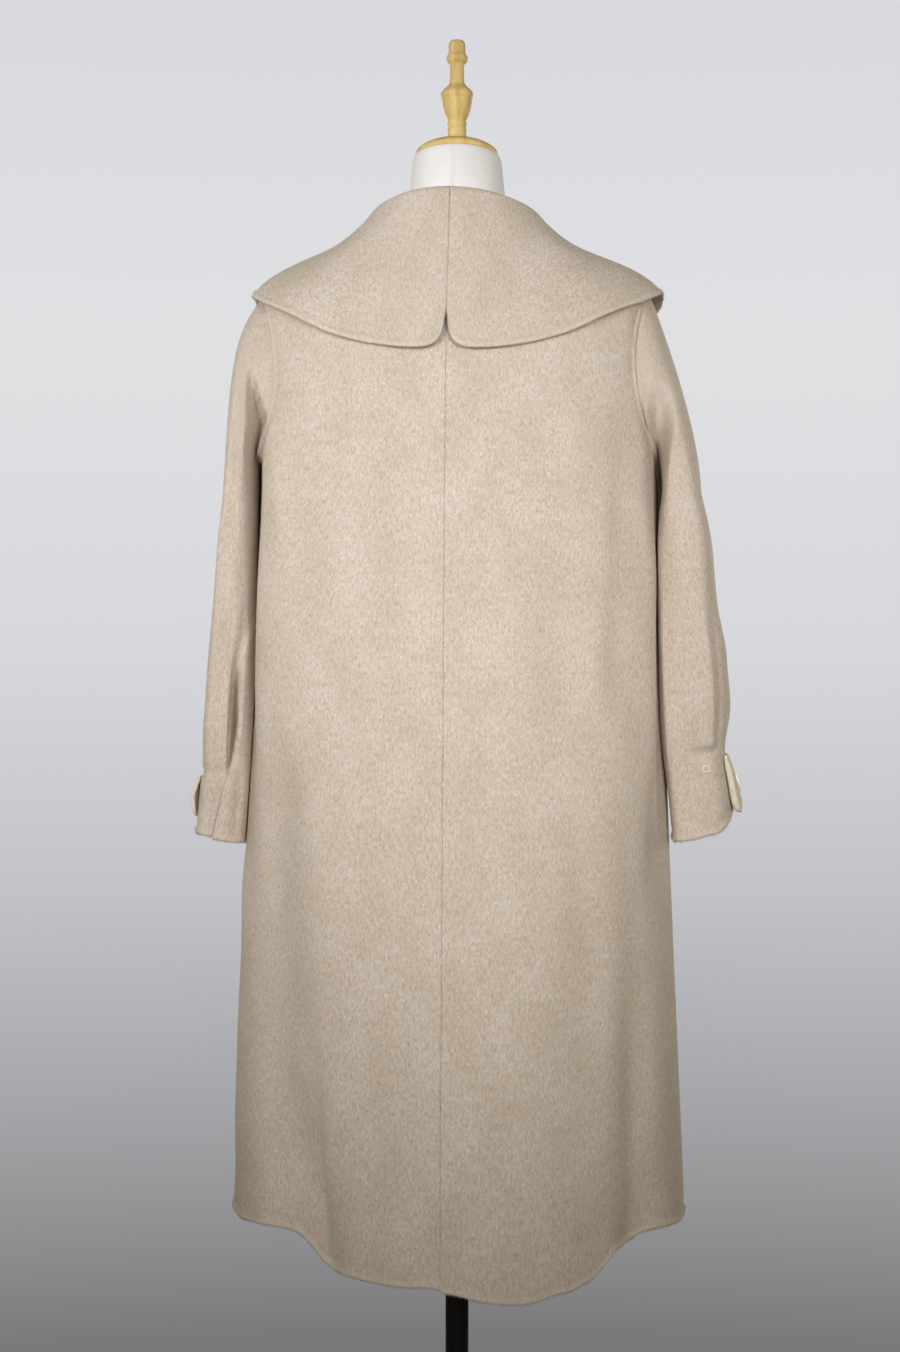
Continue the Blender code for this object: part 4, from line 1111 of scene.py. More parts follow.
def sleeve_rows():
    """Falls of the sleeve rows, from the armhole to the cuff."""
    seam_rows = EDGE_ROWS / CAP_LENGTH
    cap = np.linspace(seam_rows[-1], 1.0, CAP_SHELL_ROWS)[1:]
    cuff = hang(SLEEVE_RINGS[-1].height + EDGE_ROWS[::-1])
    hanging = np.linspace(1.0, cuff[0], HANG_SHELL_ROWS)[1:-1]
    return np.concatenate([seam_rows, cap, hanging, cuff])


def seam_turn(side, falls):
    """Turn of a sleeve's back seam at each row."""
    turn = np.full_like(falls, SEAM_BACK)
    if side > 0:
        low = np.clip((falls - hang(PLEAT_FOOT)) / (2.0 - hang(PLEAT_FOOT)), 0.0, 1.0)
        turn = turn + (PLEAT_CUFF_TURN - SEAM_BACK) * low
    return turn


def pleat_lip(is_top, height, from_seam):
    """Lap of the left sleeve's pleat below its foot: the under piece lies over the top piece."""
    below = smooth((PLEAT_FOOT - height) / PLEAT_FOOT_EASE)
    if is_top:
        return -PLEAT_TUCK * below * np.exp(-from_seam / PLEAT_TUCK_REACH)
    return PLEAT_LIP * below * np.exp(-from_seam / PLEAT_LIP_REACH)


def lapped_edge(falls):
    """Back seam of the left sleeve: closed above the foot of the pleat, a laid edge below it."""
    below = smooth((falls - hang(PLEAT_FOOT)) / PLEAT_EDGE_EASE)[:, None]
    return Edge(*(closed + (laid - closed) * below for closed, laid in zip(SIDE_SEAM, LAP_EDGE)))


def sleeve_grid(side, is_top, falls):
    """Turn, distance from the first seam and fall of each point of a sleeve piece."""
    back = seam_turn(side, falls)
    front = np.full_like(falls, SEAM_FRONT)
    first, last = (front - 2.0 * math.pi, back) if is_top else (back, front)
    share = np.linspace(0.0, 1.0, SLEEVE_DENSE)
    phi = first[:, None] + (last - first)[:, None] * share
    fall = np.broadcast_to(falls[:, None], phi.shape)
    middle = SLEEVE_TOP_MIDDLE if is_top else SLEEVE_UNDER_MIDDLE
    phi, stations = place_columns(phi, sleeve(side, phi, fall), middle)
    return phi, stations, np.broadcast_to(falls[:, None], phi.shape)


def creased_sleeve(side, is_top, phi, stations, fall):
    """Surface of a sleeve piece with its creases and folds, kept clear of the body, and its smooth height."""
    round_way, _ = sleeve_slopes(side, phi, fall)
    speed = np.linalg.norm(round_way, axis=-1)
    surface = sleeve(side, phi, fall)
    height = surface[..., 2]
    fold = groove_push(LEFT_GROOVE if side > 0 else RIGHT_GROOVE, surface)
    push = crease_push(LEFT_SLEEVE_CREASES if side > 0 else RIGHT_SLEEVE_CREASES, phi, height, speed)
    push = push + dimple_push(LEFT_DIMPLES if side > 0 else RIGHT_DIMPLES, phi, height, speed)
    push = push + SLEEVE_WAVES * wave_push(phi * SLEEVE_RADIUS * side, height)
    if side > 0:
        fold = fold + valley_push(LEFT_VALLEY, phi, height, speed) * smooth(fall / CAP_EASE)
        push = push + pleat_lip(is_top, height, stations[:, -1:] - stations if is_top else stations)
    else:
        push = push + lap_push(RIGHT_PLEAT_LAPS, phi, height, speed)
    push = push * smooth(fall / CAP_EASE)
    fold_way = LEFT_FOLD_WAY if side > 0 else RIGHT_FOLD_WAY
    surface = surface + sleeve_normal(side, phi, fall) * push[..., None] + fold_way * fold[..., None]
    short = body_reach(side, surface) + BODY_GAP - np.abs(surface[..., 0])
    surface[..., 0] += side * np.maximum(short, 0.0) * smooth((UNDERARM_FREE - height) / UNDERARM_EASE)
    return surface, height


def sleeve_piece(name, side, is_top, wool, hair):
    """A sleeve piece between its two long seams."""
    falls = sleeve_rows()
    phi, stations, fall = sleeve_grid(side, is_top, falls)
    surface, height = creased_sleeve(side, is_top, phi, stations, fall)
    normal = sleeve_normal(side, phi, fall)
    normal[0], _ = armhole_seam(side, phi[0])
    back_edge = lapped_edge(falls) if side > 0 else SIDE_SEAM
    first_edge, last_edge = (SIDE_SEAM, back_edge) if is_top else (back_edge, SIDE_SEAM)
    skins = cloth_skins(surface, normal, (first_edge, last_edge, CAP_EDGE, TURNED_EDGE))
    flat = np.stack([edge_distances(surface)[0] * side, height], axis=-1)
    cloth_piece(name, skins, flat, wool)
    edge_nap(name + "_nap", [[skin[::-1] for skin in skins[:2]]], hair)


# Collar

def collar_fall(turn, roll_end, upper, lower, edge):
    """Rows of the collar's fall, close together at its edge and cut short at the rounded corners."""
    kept = float(column_curve(COLLAR_CORNERS, "turn", "kept", turn))
    length = kept * np.linalg.norm(edge - roll_end)
    even = np.linspace(0.0, 1.0 - EDGE_ROWS[-1] / length, COLLAR_FALL_ROWS)[:-1]
    t = kept * np.concatenate([even, 1.0 - EDGE_ROWS[::-1] / length])[:, None]
    fall = roll_end * (1 - t) ** 3 + upper * 3 * t * (1 - t) ** 2
    return fall + lower * 3 * t ** 2 * (1 - t) + edge * t ** 3


def collar_section(turn, side, theta):
    """One section of the collar's under side, from the neck seam over the roll to the edge."""
    def column(name):
        return float(column_curve(COLLAR_SPOKES, "turn", name, turn))

    angle = math.radians(turn)
    place, normal, onward = neck_seam(np.array(theta))
    start = place + SEAM * onward
    outward = np.array([math.sin(angle), math.cos(angle), 0.0])
    foot = np.array([float(start @ outward), start[2]])
    rise = column("left_rise") if side > 0 else 0.0
    centre = np.array([column("roll_reach"), column("roll_height") + rise - CLOTH - ROLL_RADIUS])
    out = column("left_out") if side > 0 else 0.0
    edge = np.array([column("edge_reach") + out, column("edge_height") + rise])
    span = edge - centre
    outside = np.array([-span[1], span[0]]) / np.linalg.norm(span)
    upper = centre + span / 3.0 - column("sag") * outside
    lower = edge - span / 3.0 + column("swell") * outside
    fall_way = upper - centre - np.array([0.0, ROLL_RADIUS])
    leave = 0.5 * math.pi + math.atan2(fall_way[1], fall_way[0])
    roll_start = centre + np.array([-ROLL_RADIUS, 0.0])
    pull = foot + STAND_LEAN * (roll_start[1] - foot[1])
    t = np.linspace(0.0, 1.0, COLLAR_STAND_ROWS, endpoint=False)[:, None]
    stand = foot * (1 - t) ** 2 + pull * 2 * t * (1 - t) + roll_start * t ** 2
    arc = np.linspace(math.pi, leave, COLLAR_ROLL_ROWS, endpoint=False)
    roll = centre + ROLL_RADIUS * np.stack([np.cos(arc), np.sin(arc)], axis=-1)
    roll_end = centre + ROLL_RADIUS * np.array([math.cos(leave), math.sin(leave)])
    section = np.concatenate([stand, roll, collar_fall(turn, roll_end, upper, lower, edge)])
    rows = section[:, :1] * outward + section[:, 1:] * np.array([0.0, 0.0, 1.0])
    rows[0] = start
    return rows, normal


def collar_turns():
    """Turns of the collar's columns, close together at the back slit and the front corners."""
    slit = np.array((0.0, 0.12, 0.3, 0.55, 0.9, 1.3, 1.8, 2.4, 3.1, 4.0, 5.0, 6.2, 7.6, 9.2, 11.0, 13.0))
    front = 180.0 - np.array((0.0, 0.12, 0.3, 0.55, 0.9, 1.4, 2.0, 2.8, 3.8, 5.0, 6.6, 8.5, 11.0))[::-1]
    return np.concatenate([slit, np.linspace(slit[-1], front[0], COLLAR_MIDDLE)[1:-1], front])


def collar_under(side, turns):
    """Points and directions of a collar half's under side, both built on the wearer's left."""
    dense = np.linspace(0.5 * math.pi, -0.5 * math.pi, NECK_DENSE)
    neck = body(dense, np.full_like(dense, NECK))
    theta = np.interp(np.radians(turns), np.arctan2(neck[:, 0], neck[:, 1]), dense)
    sections = [collar_section(float(turn), side, angle) for turn, angle in zip(turns, theta)]
    under = np.stack([rows for rows, _ in sections], axis=1)
    normal = unit(np.cross(np.gradient(under, axis=1), np.gradient(under, axis=0)))
    normal[0] = np.stack([seam for _, seam in sections])
    if np.sum(normal[1, 0] * under[1, 0] * np.array([1.0, 1.0, 0.0])) < 0.0:
        normal[1:] = -normal[1:]
    normal[:, (0, -1), 0] = 0.0
    under[:, (0, -1), 0] = 0.5 * SEAM
    return under, unit(normal)


def collar_half(name, side, wool, hair):
    """One half of the collar, from the centre back to the centre front."""
    turns = collar_turns()
    under, normal = collar_under(side, turns)
    turn_grid = np.broadcast_to(np.radians(turns), under.shape[:2])
    first_fall = COLLAR_STAND_ROWS + COLLAR_ROLL_ROWS
    travel = np.clip(np.arange(len(under)) - first_fall, 0, None) / COLLAR_FALL_ROWS
    down = np.broadcast_to(np.clip(travel, 0.0, 1.0)[:, None], under.shape[:2])
    reach = np.linalg.norm(under[..., :2], axis=-1)
    held = smooth(down / COLLAR_ROLL_EASE) * smooth(turn_grid / COLLAR_END_EASE)
    held = held * smooth((math.pi - turn_grid) / COLLAR_END_EASE)
    push = crease_push(COLLAR_CREASES, turn_grid, down, reach) * held
    face = under - normal * (CLOTH + push)[..., None]
    face[:, 1:-1, 0] = np.maximum(face[:, 1:-1, 0], 0.5 * SEAM)
    mirror = np.array([float(side), 1.0, 1.0])
    edges = (CENTRE_SEAM, TURNED_EDGE, SIDE_SEAM, TURNED_EDGE)
    skins = cloth_skins(face * mirror, -normal * mirror, edges)
    run = edge_distances(face)[2] + COLLAR_FLAT_NECK
    flat_turn = COLLAR_FLAT_TURN * turn_grid
    flat = np.stack([side * run * np.sin(flat_turn), -run * np.cos(flat_turn)], axis=-1)
    cloth_piece(name, skins, flat, wool)
    edge_nap(name + "_nap", [[skin[::-1] for skin in skins[:2]]], hair)


# Cuff tabs and buttons

def tab_place(side, down, across):
    """Sleeve point and direction under a tab."""
    top = TAB_TOP_LEFT if side > 0 else TAB_TOP_RIGHT
    height = TAB_HEIGHT_LEFT if side > 0 else TAB_HEIGHT_RIGHT
    fall = hang(top - height * down)
    return sleeve(side, across, fall), sleeve_normal(side, across, fall)


def tab_column(side, name, down):
    """One of a tab's own measures, by its side."""
    return column_curve(TAB_ROWS, "down", name + ("_left" if side > 0 else "_right"), down)


def tab_middle(side):
    """Middle turn and half width of a tab."""
    back = TAB_BACK_LEFT if side > 0 else TAB_BACK_RIGHT
    return 0.5 * (back + TAB_FRONT), 0.5 * (back - TAB_FRONT)


def tab_face(side, down, across):
    """Outer face of a tab, dented under its button."""
    place, normal = tab_place(side, down, across)
    height = TAB_HEIGHT_LEFT if side > 0 else TAB_HEIGHT_RIGHT
    middle, half = tab_middle(side)
    away = np.hypot((down - BUTTON_DOWN) * height, (across - middle) / half * (0.5 * TAB_WIDTH))
    dent = BUTTON_SINK * np.exp(-(away / (BUTTON_NEST * BUTTON_RADIUS)) ** 6)
    lift = SEAM + tab_column(side, "stand", down) + tab_column(side, "thick", down) - dent
    return place + normal * lift[..., None], normal


def cuff_tab(name, side, wool):
    """Padded tab moved out from the sleeve's own points."""
    height = TAB_HEIGHT_LEFT if side > 0 else TAB_HEIGHT_RIGHT
    near = EDGE_ROWS / height
    even = np.linspace(near[-1], 1.0 - near[-1], TAB_MIDDLE_ROWS)[1:-1]
    down = np.concatenate([near, even, 1.0 - near[::-1]])
    rim = EDGE_ROWS / TAB_WIDTH
    even = np.linspace(rim[-1], 1.0 - rim[-1], TAB_MIDDLE_COLUMNS)[1:-1]
    share = np.concatenate([rim, even, 1.0 - rim[::-1]])
    width = column_curve(TAB_ROWS, "down", "width", down)
    middle, half = tab_middle(side)
    across = middle + half * width[:, None] * (2.0 * share - 1.0)[None, :]
    down = np.broadcast_to(down[:, None], across.shape)
    surface, normal = tab_face(side, down, across)
    thick = tab_column(side, "thick", down)
    skins = cloth_skins(surface, normal, (TAB_EDGE,) * 4, thick)
    flat = np.stack([share * TAB_WIDTH + np.zeros_like(down), -down * height], axis=-1)
    cloth_piece(name, skins, flat, wool)


def button_frame(side):
    """Centre and directions of a cuff button."""
    down = np.array(BUTTON_DOWN)
    across = np.array(tab_middle(side)[0])
    foot, normal = tab_face(side, down, across)
    higher, _ = tab_face(side, down - BUTTON_TILT_STEP, across)
    lower, _ = tab_face(side, down + BUTTON_TILT_STEP, across)
    up_way = unit(higher - lower)
    face_way = unit(normal - up_way * float(normal @ up_way))
    return foot + face_way * BUTTON_STAND, up_way, np.cross(up_way, face_way), face_way


def close_shape(shape):
    """Weld a shape's open rims, fill its ends and face it outward."""
    bmesh.ops.remove_doubles(shape, verts=shape.verts[:], dist=TINY)
    bmesh.ops.holes_fill(shape, edges=shape.edges[:], sides=0)
    bmesh.ops.recalc_face_normals(shape, faces=shape.faces[:])


def spun_shape(profile, segments):
    """Closed shape of a profile spun round Z."""
    shape = bmesh.new()
    verts = [shape.verts.new((turn.radius, 0.0, turn.height)) for turn in profile]
    edges = [shape.edges.new(pair) for pair in zip(verts, verts[1:])]
    bmesh.ops.spin(shape, geom=verts + edges, cent=(0.0, 0.0, 0.0), axis=(0.0, 0.0, 1.0),
                   dvec=(0.0, 0.0, 0.0), angle=2.0 * math.pi, steps=segments, use_merge=True,
                   use_duplicate=False)
    close_shape(shape)
    return shape


def finished_mesh(name, shape, sharp_angle):
    """Mesh of a bmesh, shaded smooth up to an angle."""
    mesh = bpy.data.meshes.new(name)
    shape.to_mesh(mesh)
    shape.free()
    mesh.shade_smooth()
    mesh.set_sharp_from_angle(angle=math.radians(sharp_angle))
    return mesh


def cuff_button(name, side, horn):
    """Round button with a raised rim and a dished face."""
    foot, up_way, side_way, face_way = button_frame(side)
    shape = spun_shape(BUTTON_PROFILE, BUTTON_SEGMENTS)
    turn = Matrix((up_way, side_way, face_way)).transposed().to_4x4()
    turn.translation = Vector(foot)
    bmesh.ops.transform(shape, matrix=turn, verts=shape.verts[:])
    bmesh.ops.recalc_face_normals(shape, faces=shape.faces[:])
    piece = rest_object(name + "_disc", finished_mesh(name, shape, BUTTON_SHARP), horn)
    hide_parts(name)


def cuff_stitch(name, side, thread):
    """Small square of thread bars on the cuff, sewn through from the tab's loop."""
    turn = np.array(STITCH_TURN)
    fall = np.array(hang(STITCH_HEIGHT))
    _, down_way = sleeve_slopes(side, turn, fall)
    up_way = -unit(down_way)
    normal = sleeve_normal(side, turn, fall)
    side_way = np.cross(up_way, normal)
    centre = sleeve(side, turn, fall) + normal * STITCH_STAND
    shape = bmesh.new()
    for way, across, long in ((up_way, side_way, STITCH_WIDE), (side_way, up_way, STITCH_TALL)):
        for end in (-0.5, 0.5):
            place = Matrix((across, normal, way)).transposed().to_4x4()
            place.translation = Vector(centre + across * long * end)
            length = STITCH_TALL if long == STITCH_WIDE else STITCH_WIDE
            bmesh.ops.create_cone(shape, cap_ends=True, segments=8, radius1=THREAD, radius2=THREAD,
                                  depth=length + 2.0 * THREAD, matrix=place)
    bmesh.ops.recalc_face_normals(shape, faces=shape.faces[:])
    rest_object(name, finished_mesh(name, shape, TURNED_SHARP), thread)


# Dress form

def form_ring(form):
    """One ring of the form, with its own side, back and front heights."""
    angles = np.linspace(0.0, 2.0 * math.pi, FORM_SEGMENTS + 1)
    along = np.sin(angles)
    depth = np.where(along >= 0.0, form.depth_back, form.depth_front)
    end = np.where(along >= 0.0, form.back, form.front)
    height = form.side + (end - form.side) * np.abs(along) ** 3
    return points(form.half_width * np.cos(angles), depth * along, height)


def shoulder_ring(level):
    """A ring of the form that carries the coat's shoulders."""
    angles = np.linspace(0.0, 2.0 * math.pi, FORM_SEGMENTS + 1)
    return body(angles, level) - body_normal(angles, np.full_like(angles, level)) * (CLOTH + REST)


def slanted_ring(form):
    """A ring on one slanted plane, higher at the back."""
    angles = np.linspace(0.0, 2.0 * math.pi, FORM_SEGMENTS + 1)
    along = np.sin(angles)
    depth = np.where(along >= 0.0, form.depth_back, form.depth_front)
    height = 0.5 * (form.back + form.front) + 0.5 * (form.back - form.front) * along
    return points(form.half_width * np.cos(angles), depth * along, height)


def ring_shape(rings):
    """Closed skin over a stack of rings, from a grid joined along its length."""
    grid = np.stack(rings)
    rows, columns = grid.shape[:2]
    shape = bmesh.new()
    bmesh.ops.create_grid(shape, x_segments=columns - 1, y_segments=rows - 1, size=0.5)
    for vert in shape.verts:
        column = round((vert.co.x + 0.5) * (columns - 1))
        row = round((vert.co.y + 0.5) * (rows - 1))
        vert.co = grid[row, column]
    close_shape(shape)
    return shape


def finer_rings(rings):
    """Rings on a smooth curve through a few given ones."""
    stack = np.stack(rings)
    count = len(stack)
    travel = np.arange(count, dtype=float)
    at = np.linspace(0.0, count - 1.0, (count - 1) * FORM_FINER + 1)
    span = np.clip(at.astype(int), 0, count - 2)
    t = (at - travel[span])[:, None, None]
    before = stack[np.clip(span - 1, 0, count - 1)]
    low = stack[span]
    high = stack[span + 1]
    after = stack[np.clip(span + 2, 0, count - 1)]
    bend = 2 * low + (high - before) * t + (2 * before - 5 * low + 4 * high - after) * t ** 2
    return 0.5 * (bend + (3 * low - before - 3 * high + after) * t ** 3)


def dress_form(jersey, wood, black_metal):
    """Torso with neck, wooden cap and finial, pole and base."""
    rings = [form_ring(form) for form in TORSO_RINGS]
    rings += [shoulder_ring(level) for level in SHOULDER_LEVELS]
    rings += [form_ring(form) for form in NECK_RINGS]
    rings += [slanted_ring(form) for form in NECK_TOP_RINGS]
    cap_rings = [slanted_ring(form) for form in CAP_RINGS]
    made = (
        ("form_torso", "skin", jersey, "jersey", ring_shape(finer_rings(rings)), FORM_SHARP),
        ("neck_cap", "wood", wood, "wood", ring_shape(finer_rings(cap_rings)), FORM_SHARP),
        ("finial", "turned", wood, "wood", spun_shape(FINIAL, FINIAL_SEGMENTS), TURNED_SHARP),
        ("pole", "turned", black_metal, "black_metal", spun_shape(POLE_PROFILE, POLE_SEGMENTS), TURNED_SHARP),
        ("base", "turned", black_metal, "black_metal", spun_shape(BASE_PROFILE, BASE_SEGMENTS), TURNED_SHARP),
    )
    for node, ending, material, slot, shape, sharp in made:
        piece = rest_object(node + "_" + ending, finished_mesh(node, shape, sharp), material)
        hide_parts(node)


# Materials

TAN_FIBRE = (0.555, 0.415, 0.260)
# Cream of the painted highlight that turned edges and seam welts are mixed towards, where their rolls catch
# the light
EDGE_HIGHLIGHT_CREAM = (0.80, 0.72, 0.62)
PALE_CREAM = (0.90, 0.84, 0.66)


def new_material(name, roughness):
    """Empty material with its shader."""
    material = bpy.data.materials.new(name)
    material.use_nodes = True
    shader = material.node_tree.nodes["Principled BSDF"]
    shader.inputs["Roughness"].default_value = roughness
    return material, material.node_tree, shader


def add_node(tree, kind, **values):
    """New node with its settings and unlinked inputs."""
    node = tree.nodes.new(kind)
    for key, value in values.items():
        if key in node.inputs:
            node.inputs[key].default_value = value
        else:
            setattr(node, key, value)
    return node


def object_place(tree):
    """A point's own place on the object."""
    return add_node(tree, "ShaderNodeTexCoord").outputs["Object"]


def noise(tree, coordinate, stretch, detail, roughness):
    """Noise value on a stretched coordinate."""
    mapping = add_node(tree, "ShaderNodeMapping", Scale=stretch)
    tree.links.new(coordinate, mapping.inputs["Vector"])
    node = add_node(tree, "ShaderNodeTexNoise", Scale=1.0, Detail=detail, Roughness=roughness)
    tree.links.new(mapping.outputs["Vector"], node.inputs["Vector"])
    return node.outputs["Fac"]


def ramp(tree, value, stops):
    """Colours along a value."""
    node = tree.nodes.new("ShaderNodeValToRGB")
    elements = node.color_ramp.elements
    while len(elements) < len(stops):
        elements.new(0.5)
    for element, (place, colour) in zip(elements, stops):
        element.position = place
        element.color = (*colour, 1.0)
    tree.links.new(value, node.inputs["Fac"])
    return node.outputs["Color"]


def mixed(tree, blend, factor, first, second):
    """Two colours mixed; factor, first and second are sockets or plain values."""
    node = tree.nodes.new("ShaderNodeMix")
    node.data_type = "RGBA"
    node.blend_type = blend
    # The mix node's factor and its two colours
    sockets = [node.inputs[0], node.inputs[6], node.inputs[7]]
    for socket, value in zip(sockets, (factor, first, second)):
        if isinstance(value, bpy.types.NodeSocket):
            tree.links.new(value, socket)
        else:
            socket.default_value = value if isinstance(value, float) else (*value, 1.0)
    return node.outputs[2]


def bump(tree, shader, height, strength, distance):
    """Relief from a value."""
    node = add_node(tree, "ShaderNodeBump", Strength=strength, Distance=distance)
    tree.links.new(height, node.inputs["Height"])
    tree.links.new(node.outputs["Normal"], shader.inputs["Normal"])


def wool_melange(name, paler):
    """Napped double-faced wool: cream, beige and tan fibres that run down the cloth. paler is 0 to 1."""
    material, tree, shader = new_material(name, roughness=0.95)
    grain = add_node(tree, "ShaderNodeUVMap", uv_map="grain").outputs["UV"]
    strands = noise(tree, grain, (1120.0, 250.0, 1.0), detail=3.0, roughness=0.6)
    tufts = noise(tree, grain, (330.0, 110.0, 1.0), detail=2.0, roughness=0.55)
    clouds = noise(tree, grain, (24.0, 14.0, 1.0), detail=2.0, roughness=0.5)
    flecks = noise(tree, grain, (760.0, 190.0, 1.0), detail=1.0, roughness=0.5)
    base = ramp(tree, strands, ((0.30, (0.550, 0.435, 0.300)), (0.46, (0.636, 0.548, 0.452)),
                                (0.56, (0.676, 0.606, 0.548)), (0.70, (0.742, 0.712, 0.716))))
    tuft_tone = ramp(tree, tufts, ((0.32, (0.90, 0.865, 0.795)), (0.50, (1.0, 1.0, 1.0)),
                                   (0.68, (1.05, 1.08, 1.14))))
    cloud_tone = ramp(tree, clouds, ((0.35, (0.95, 0.94, 0.915)), (0.65, (1.03, 1.035, 1.045))))
    tan = ramp(tree, flecks, ((0.60, (0.0, 0.0, 0.0)), (0.72, (1.0, 1.0, 1.0))))
    colour = mixed(tree, "MULTIPLY", 1.0, base, tuft_tone)
    colour = mixed(tree, "MULTIPLY", 1.0, colour, cloud_tone)
    colour = mixed(tree, "MIX", tan, colour, TAN_FIBRE)
    # Painted highlight: the edge value lightens turned edges and seam welts towards cream, where their rolls
    # catch the light
    edge = add_node(tree, "ShaderNodeAttribute", attribute_name="edge")
    highlight_share = ramp(tree, edge.outputs["Fac"], ((0.0, (0.0, 0.0, 0.0)), (1.0, (0.35, 0.35, 0.35))))
    colour = mixed(tree, "MIX", highlight_share, colour, EDGE_HIGHLIGHT_CREAM)
    colour = mixed(tree, "MIX", paler, colour, PALE_CREAM)
    tree.links.new(colour, shader.inputs["Base Color"])
    shader.inputs["Specular IOR Level"].default_value = 0.15
    shader.inputs["Sheen Weight"].default_value = 0.25
    shader.inputs["Sheen Roughness"].default_value = 0.45
    shader.inputs["Sheen Tint"].default_value = (0.92, 0.86, 0.78, 1.0)
    bump(tree, shader, mixed(tree, "MIX", 0.5, strands, tufts), strength=0.55, distance=0.0007)
    return material


def wool_hairs():
    """Single wool fibres, from cream to tan."""
    material, tree, shader = new_material("wool_hairs", roughness=0.95)
    place = object_place(tree)
    shade = noise(tree, place, (900.0, 900.0, 900.0), detail=2.0, roughness=0.5)
    colour = ramp(tree, shade, ((0.34, (0.58, 0.47, 0.34)), (0.50, (0.68, 0.60, 0.52)),
                                (0.66, (0.76, 0.72, 0.68))))
    tree.links.new(colour, shader.inputs["Base Color"])
    shader.inputs["Specular IOR Level"].default_value = 0.15
    bump(tree, shader, shade, strength=0.1, distance=0.0001)
    return material


def white_jersey():
    """Fine white knit stretched over the form."""
    material, tree, shader = new_material("white_jersey", roughness=0.85)
    place = object_place(tree)
    ribs = noise(tree, place, (1600.0, 1600.0, 500.0), detail=2.0, roughness=0.5)
    shade = noise(tree, place, (14.0, 14.0, 8.0), detail=2.0, roughness=0.5)
    base = ramp(tree, shade, ((0.3, (0.84, 0.838, 0.832)), (0.7, (0.89, 0.888, 0.885))))
    knit = ramp(tree, ribs, ((0.3, (0.96, 0.96, 0.96)), (0.7, (1.0, 1.0, 1.0))))
    split = tree.nodes.new("ShaderNodeSeparateXYZ")
    tree.links.new(place, split.inputs["Vector"])
    aside = add_node(tree, "ShaderNodeMath", operation="ABSOLUTE")
    tree.links.new(split.outputs["X"], aside.inputs[0])
    seam = ramp(tree, aside.outputs["Value"], ((0.0002, (0.93, 0.93, 0.925)), (0.0011, (1.0, 1.0, 1.0))))
    colour = mixed(tree, "MULTIPLY", 1.0, mixed(tree, "MULTIPLY", 1.0, base, knit), seam)
    tree.links.new(colour, shader.inputs["Base Color"])
    shader.inputs["Sheen Weight"].default_value = 0.1
    bump(tree, shader, ribs, strength=0.2, distance=0.0003)
    return material


def waxed_beech():
    """Pale turned wood with fine upright grain."""
    material, tree, shader = new_material("waxed_beech", roughness=0.52)
    place = object_place(tree)
    fibres = noise(tree, place, (620.0, 620.0, 28.0), detail=3.0, roughness=0.6)
    bands = noise(tree, place, (150.0, 60.0, 9.0), detail=2.0, roughness=0.5)
    base = ramp(tree, bands, ((0.30, (0.66, 0.46, 0.165)), (0.52, (0.78, 0.58, 0.23)),
                              (0.72, (0.84, 0.65, 0.29))))
    pores = ramp(tree, fibres, ((0.30, (0.80, 0.76, 0.70)), (0.50, (1.0, 1.0, 1.0))))
    colour = mixed(tree, "MULTIPLY", 0.8, base, pores)
    tree.links.new(colour, shader.inputs["Base Color"])
    shader.inputs["Specular IOR Level"].default_value = 0.22
    bump(tree, shader, fibres, strength=0.15, distance=0.0003)
    return material


def black_enamel():
    """Satin black paint on metal, with a slight ripple."""
    material, tree, shader = new_material("black_enamel", roughness=0.38)
    place = object_place(tree)
    ripple = noise(tree, place, (420.0, 420.0, 420.0), detail=2.0, roughness=0.5)
    dust = noise(tree, place, (35.0, 35.0, 20.0), detail=3.0, roughness=0.6)
    colour = ramp(tree, dust, ((0.35, (0.0022, 0.0022, 0.0024)), (0.75, (0.0045, 0.0045, 0.0048))))
    tree.links.new(colour, shader.inputs["Base Color"])
    shader.inputs["Specular IOR Level"].default_value = 0.2
    bump(tree, shader, ripple, strength=0.08, distance=0.0004)
    return material


def cream_horn():
    """Polished cream button with faint streaks."""
    material, tree, shader = new_material("cream_horn", roughness=0.22)
    place = object_place(tree)
    streaks = noise(tree, place, (160.0, 420.0, 90.0), detail=3.0, roughness=0.6)
    colour = ramp(tree, streaks, ((0.30, (0.66, 0.55, 0.36)), (0.55, (0.79, 0.71, 0.54)),
                                  (0.75, (0.86, 0.80, 0.67))))
    tree.links.new(colour, shader.inputs["Base Color"])
    shader.inputs["Coat Weight"].default_value = 0.3
    bump(tree, shader, streaks, strength=0.05, distance=0.0002)
    return material


def cream_thread():
    """Matt twisted sewing thread."""
    material, tree, shader = new_material("cream_thread", roughness=0.75)
    place = object_place(tree)
    twist = noise(tree, place, (2600.0, 2600.0, 1500.0), detail=2.0, roughness=0.5)
    colour = ramp(tree, twist, ((0.32, (0.80, 0.72, 0.56)), (0.62, (0.93, 0.88, 0.76))))
    tree.links.new(colour, shader.inputs["Base Color"])
    bump(tree, shader, twist, strength=0.3, distance=0.0002)
    return material


# Studio

FLOOR_PROFILE = table(TURN_COLUMNS, (-0.020, 0.574), (-0.014, 0.58), (-0.006, 0.58), (-0.0002, 0.574))
FLOOR_SEGMENTS = 128
SENSOR = 36.0
CAMERA_TURN = math.radians(185.0)
CAMERA_DISTANCE = 2.5
CAMERA_HEIGHT = 0.93
FOCAL_PIXELS = 2250.0
FRAME_LONG = 1352.0
AXIS_OFFSET_PIXELS = 7.0
# Painted shade of the surroundings: grey tones from the ground up, darker low down where the light falls off
BACKDROP_SHADE_TONES = (
    (0.03, (0.190, 0.190, 0.193)),
    (0.19, (0.372, 0.376, 0.390)),
    (0.34, (0.535, 0.541, 0.565)),
    (0.52, (0.678, 0.685, 0.710)),
    (0.74, (0.745, 0.752, 0.768)),
    (0.96, (0.692, 0.700, 0.735)),
)
BACKDROP_REACH = 0.30
FILL_COLOUR = (1.0, 0.70, 0.36, 1.0)
FILL_STRENGTH = 0.080
WHITE = (1.0, 1.0, 1.0)
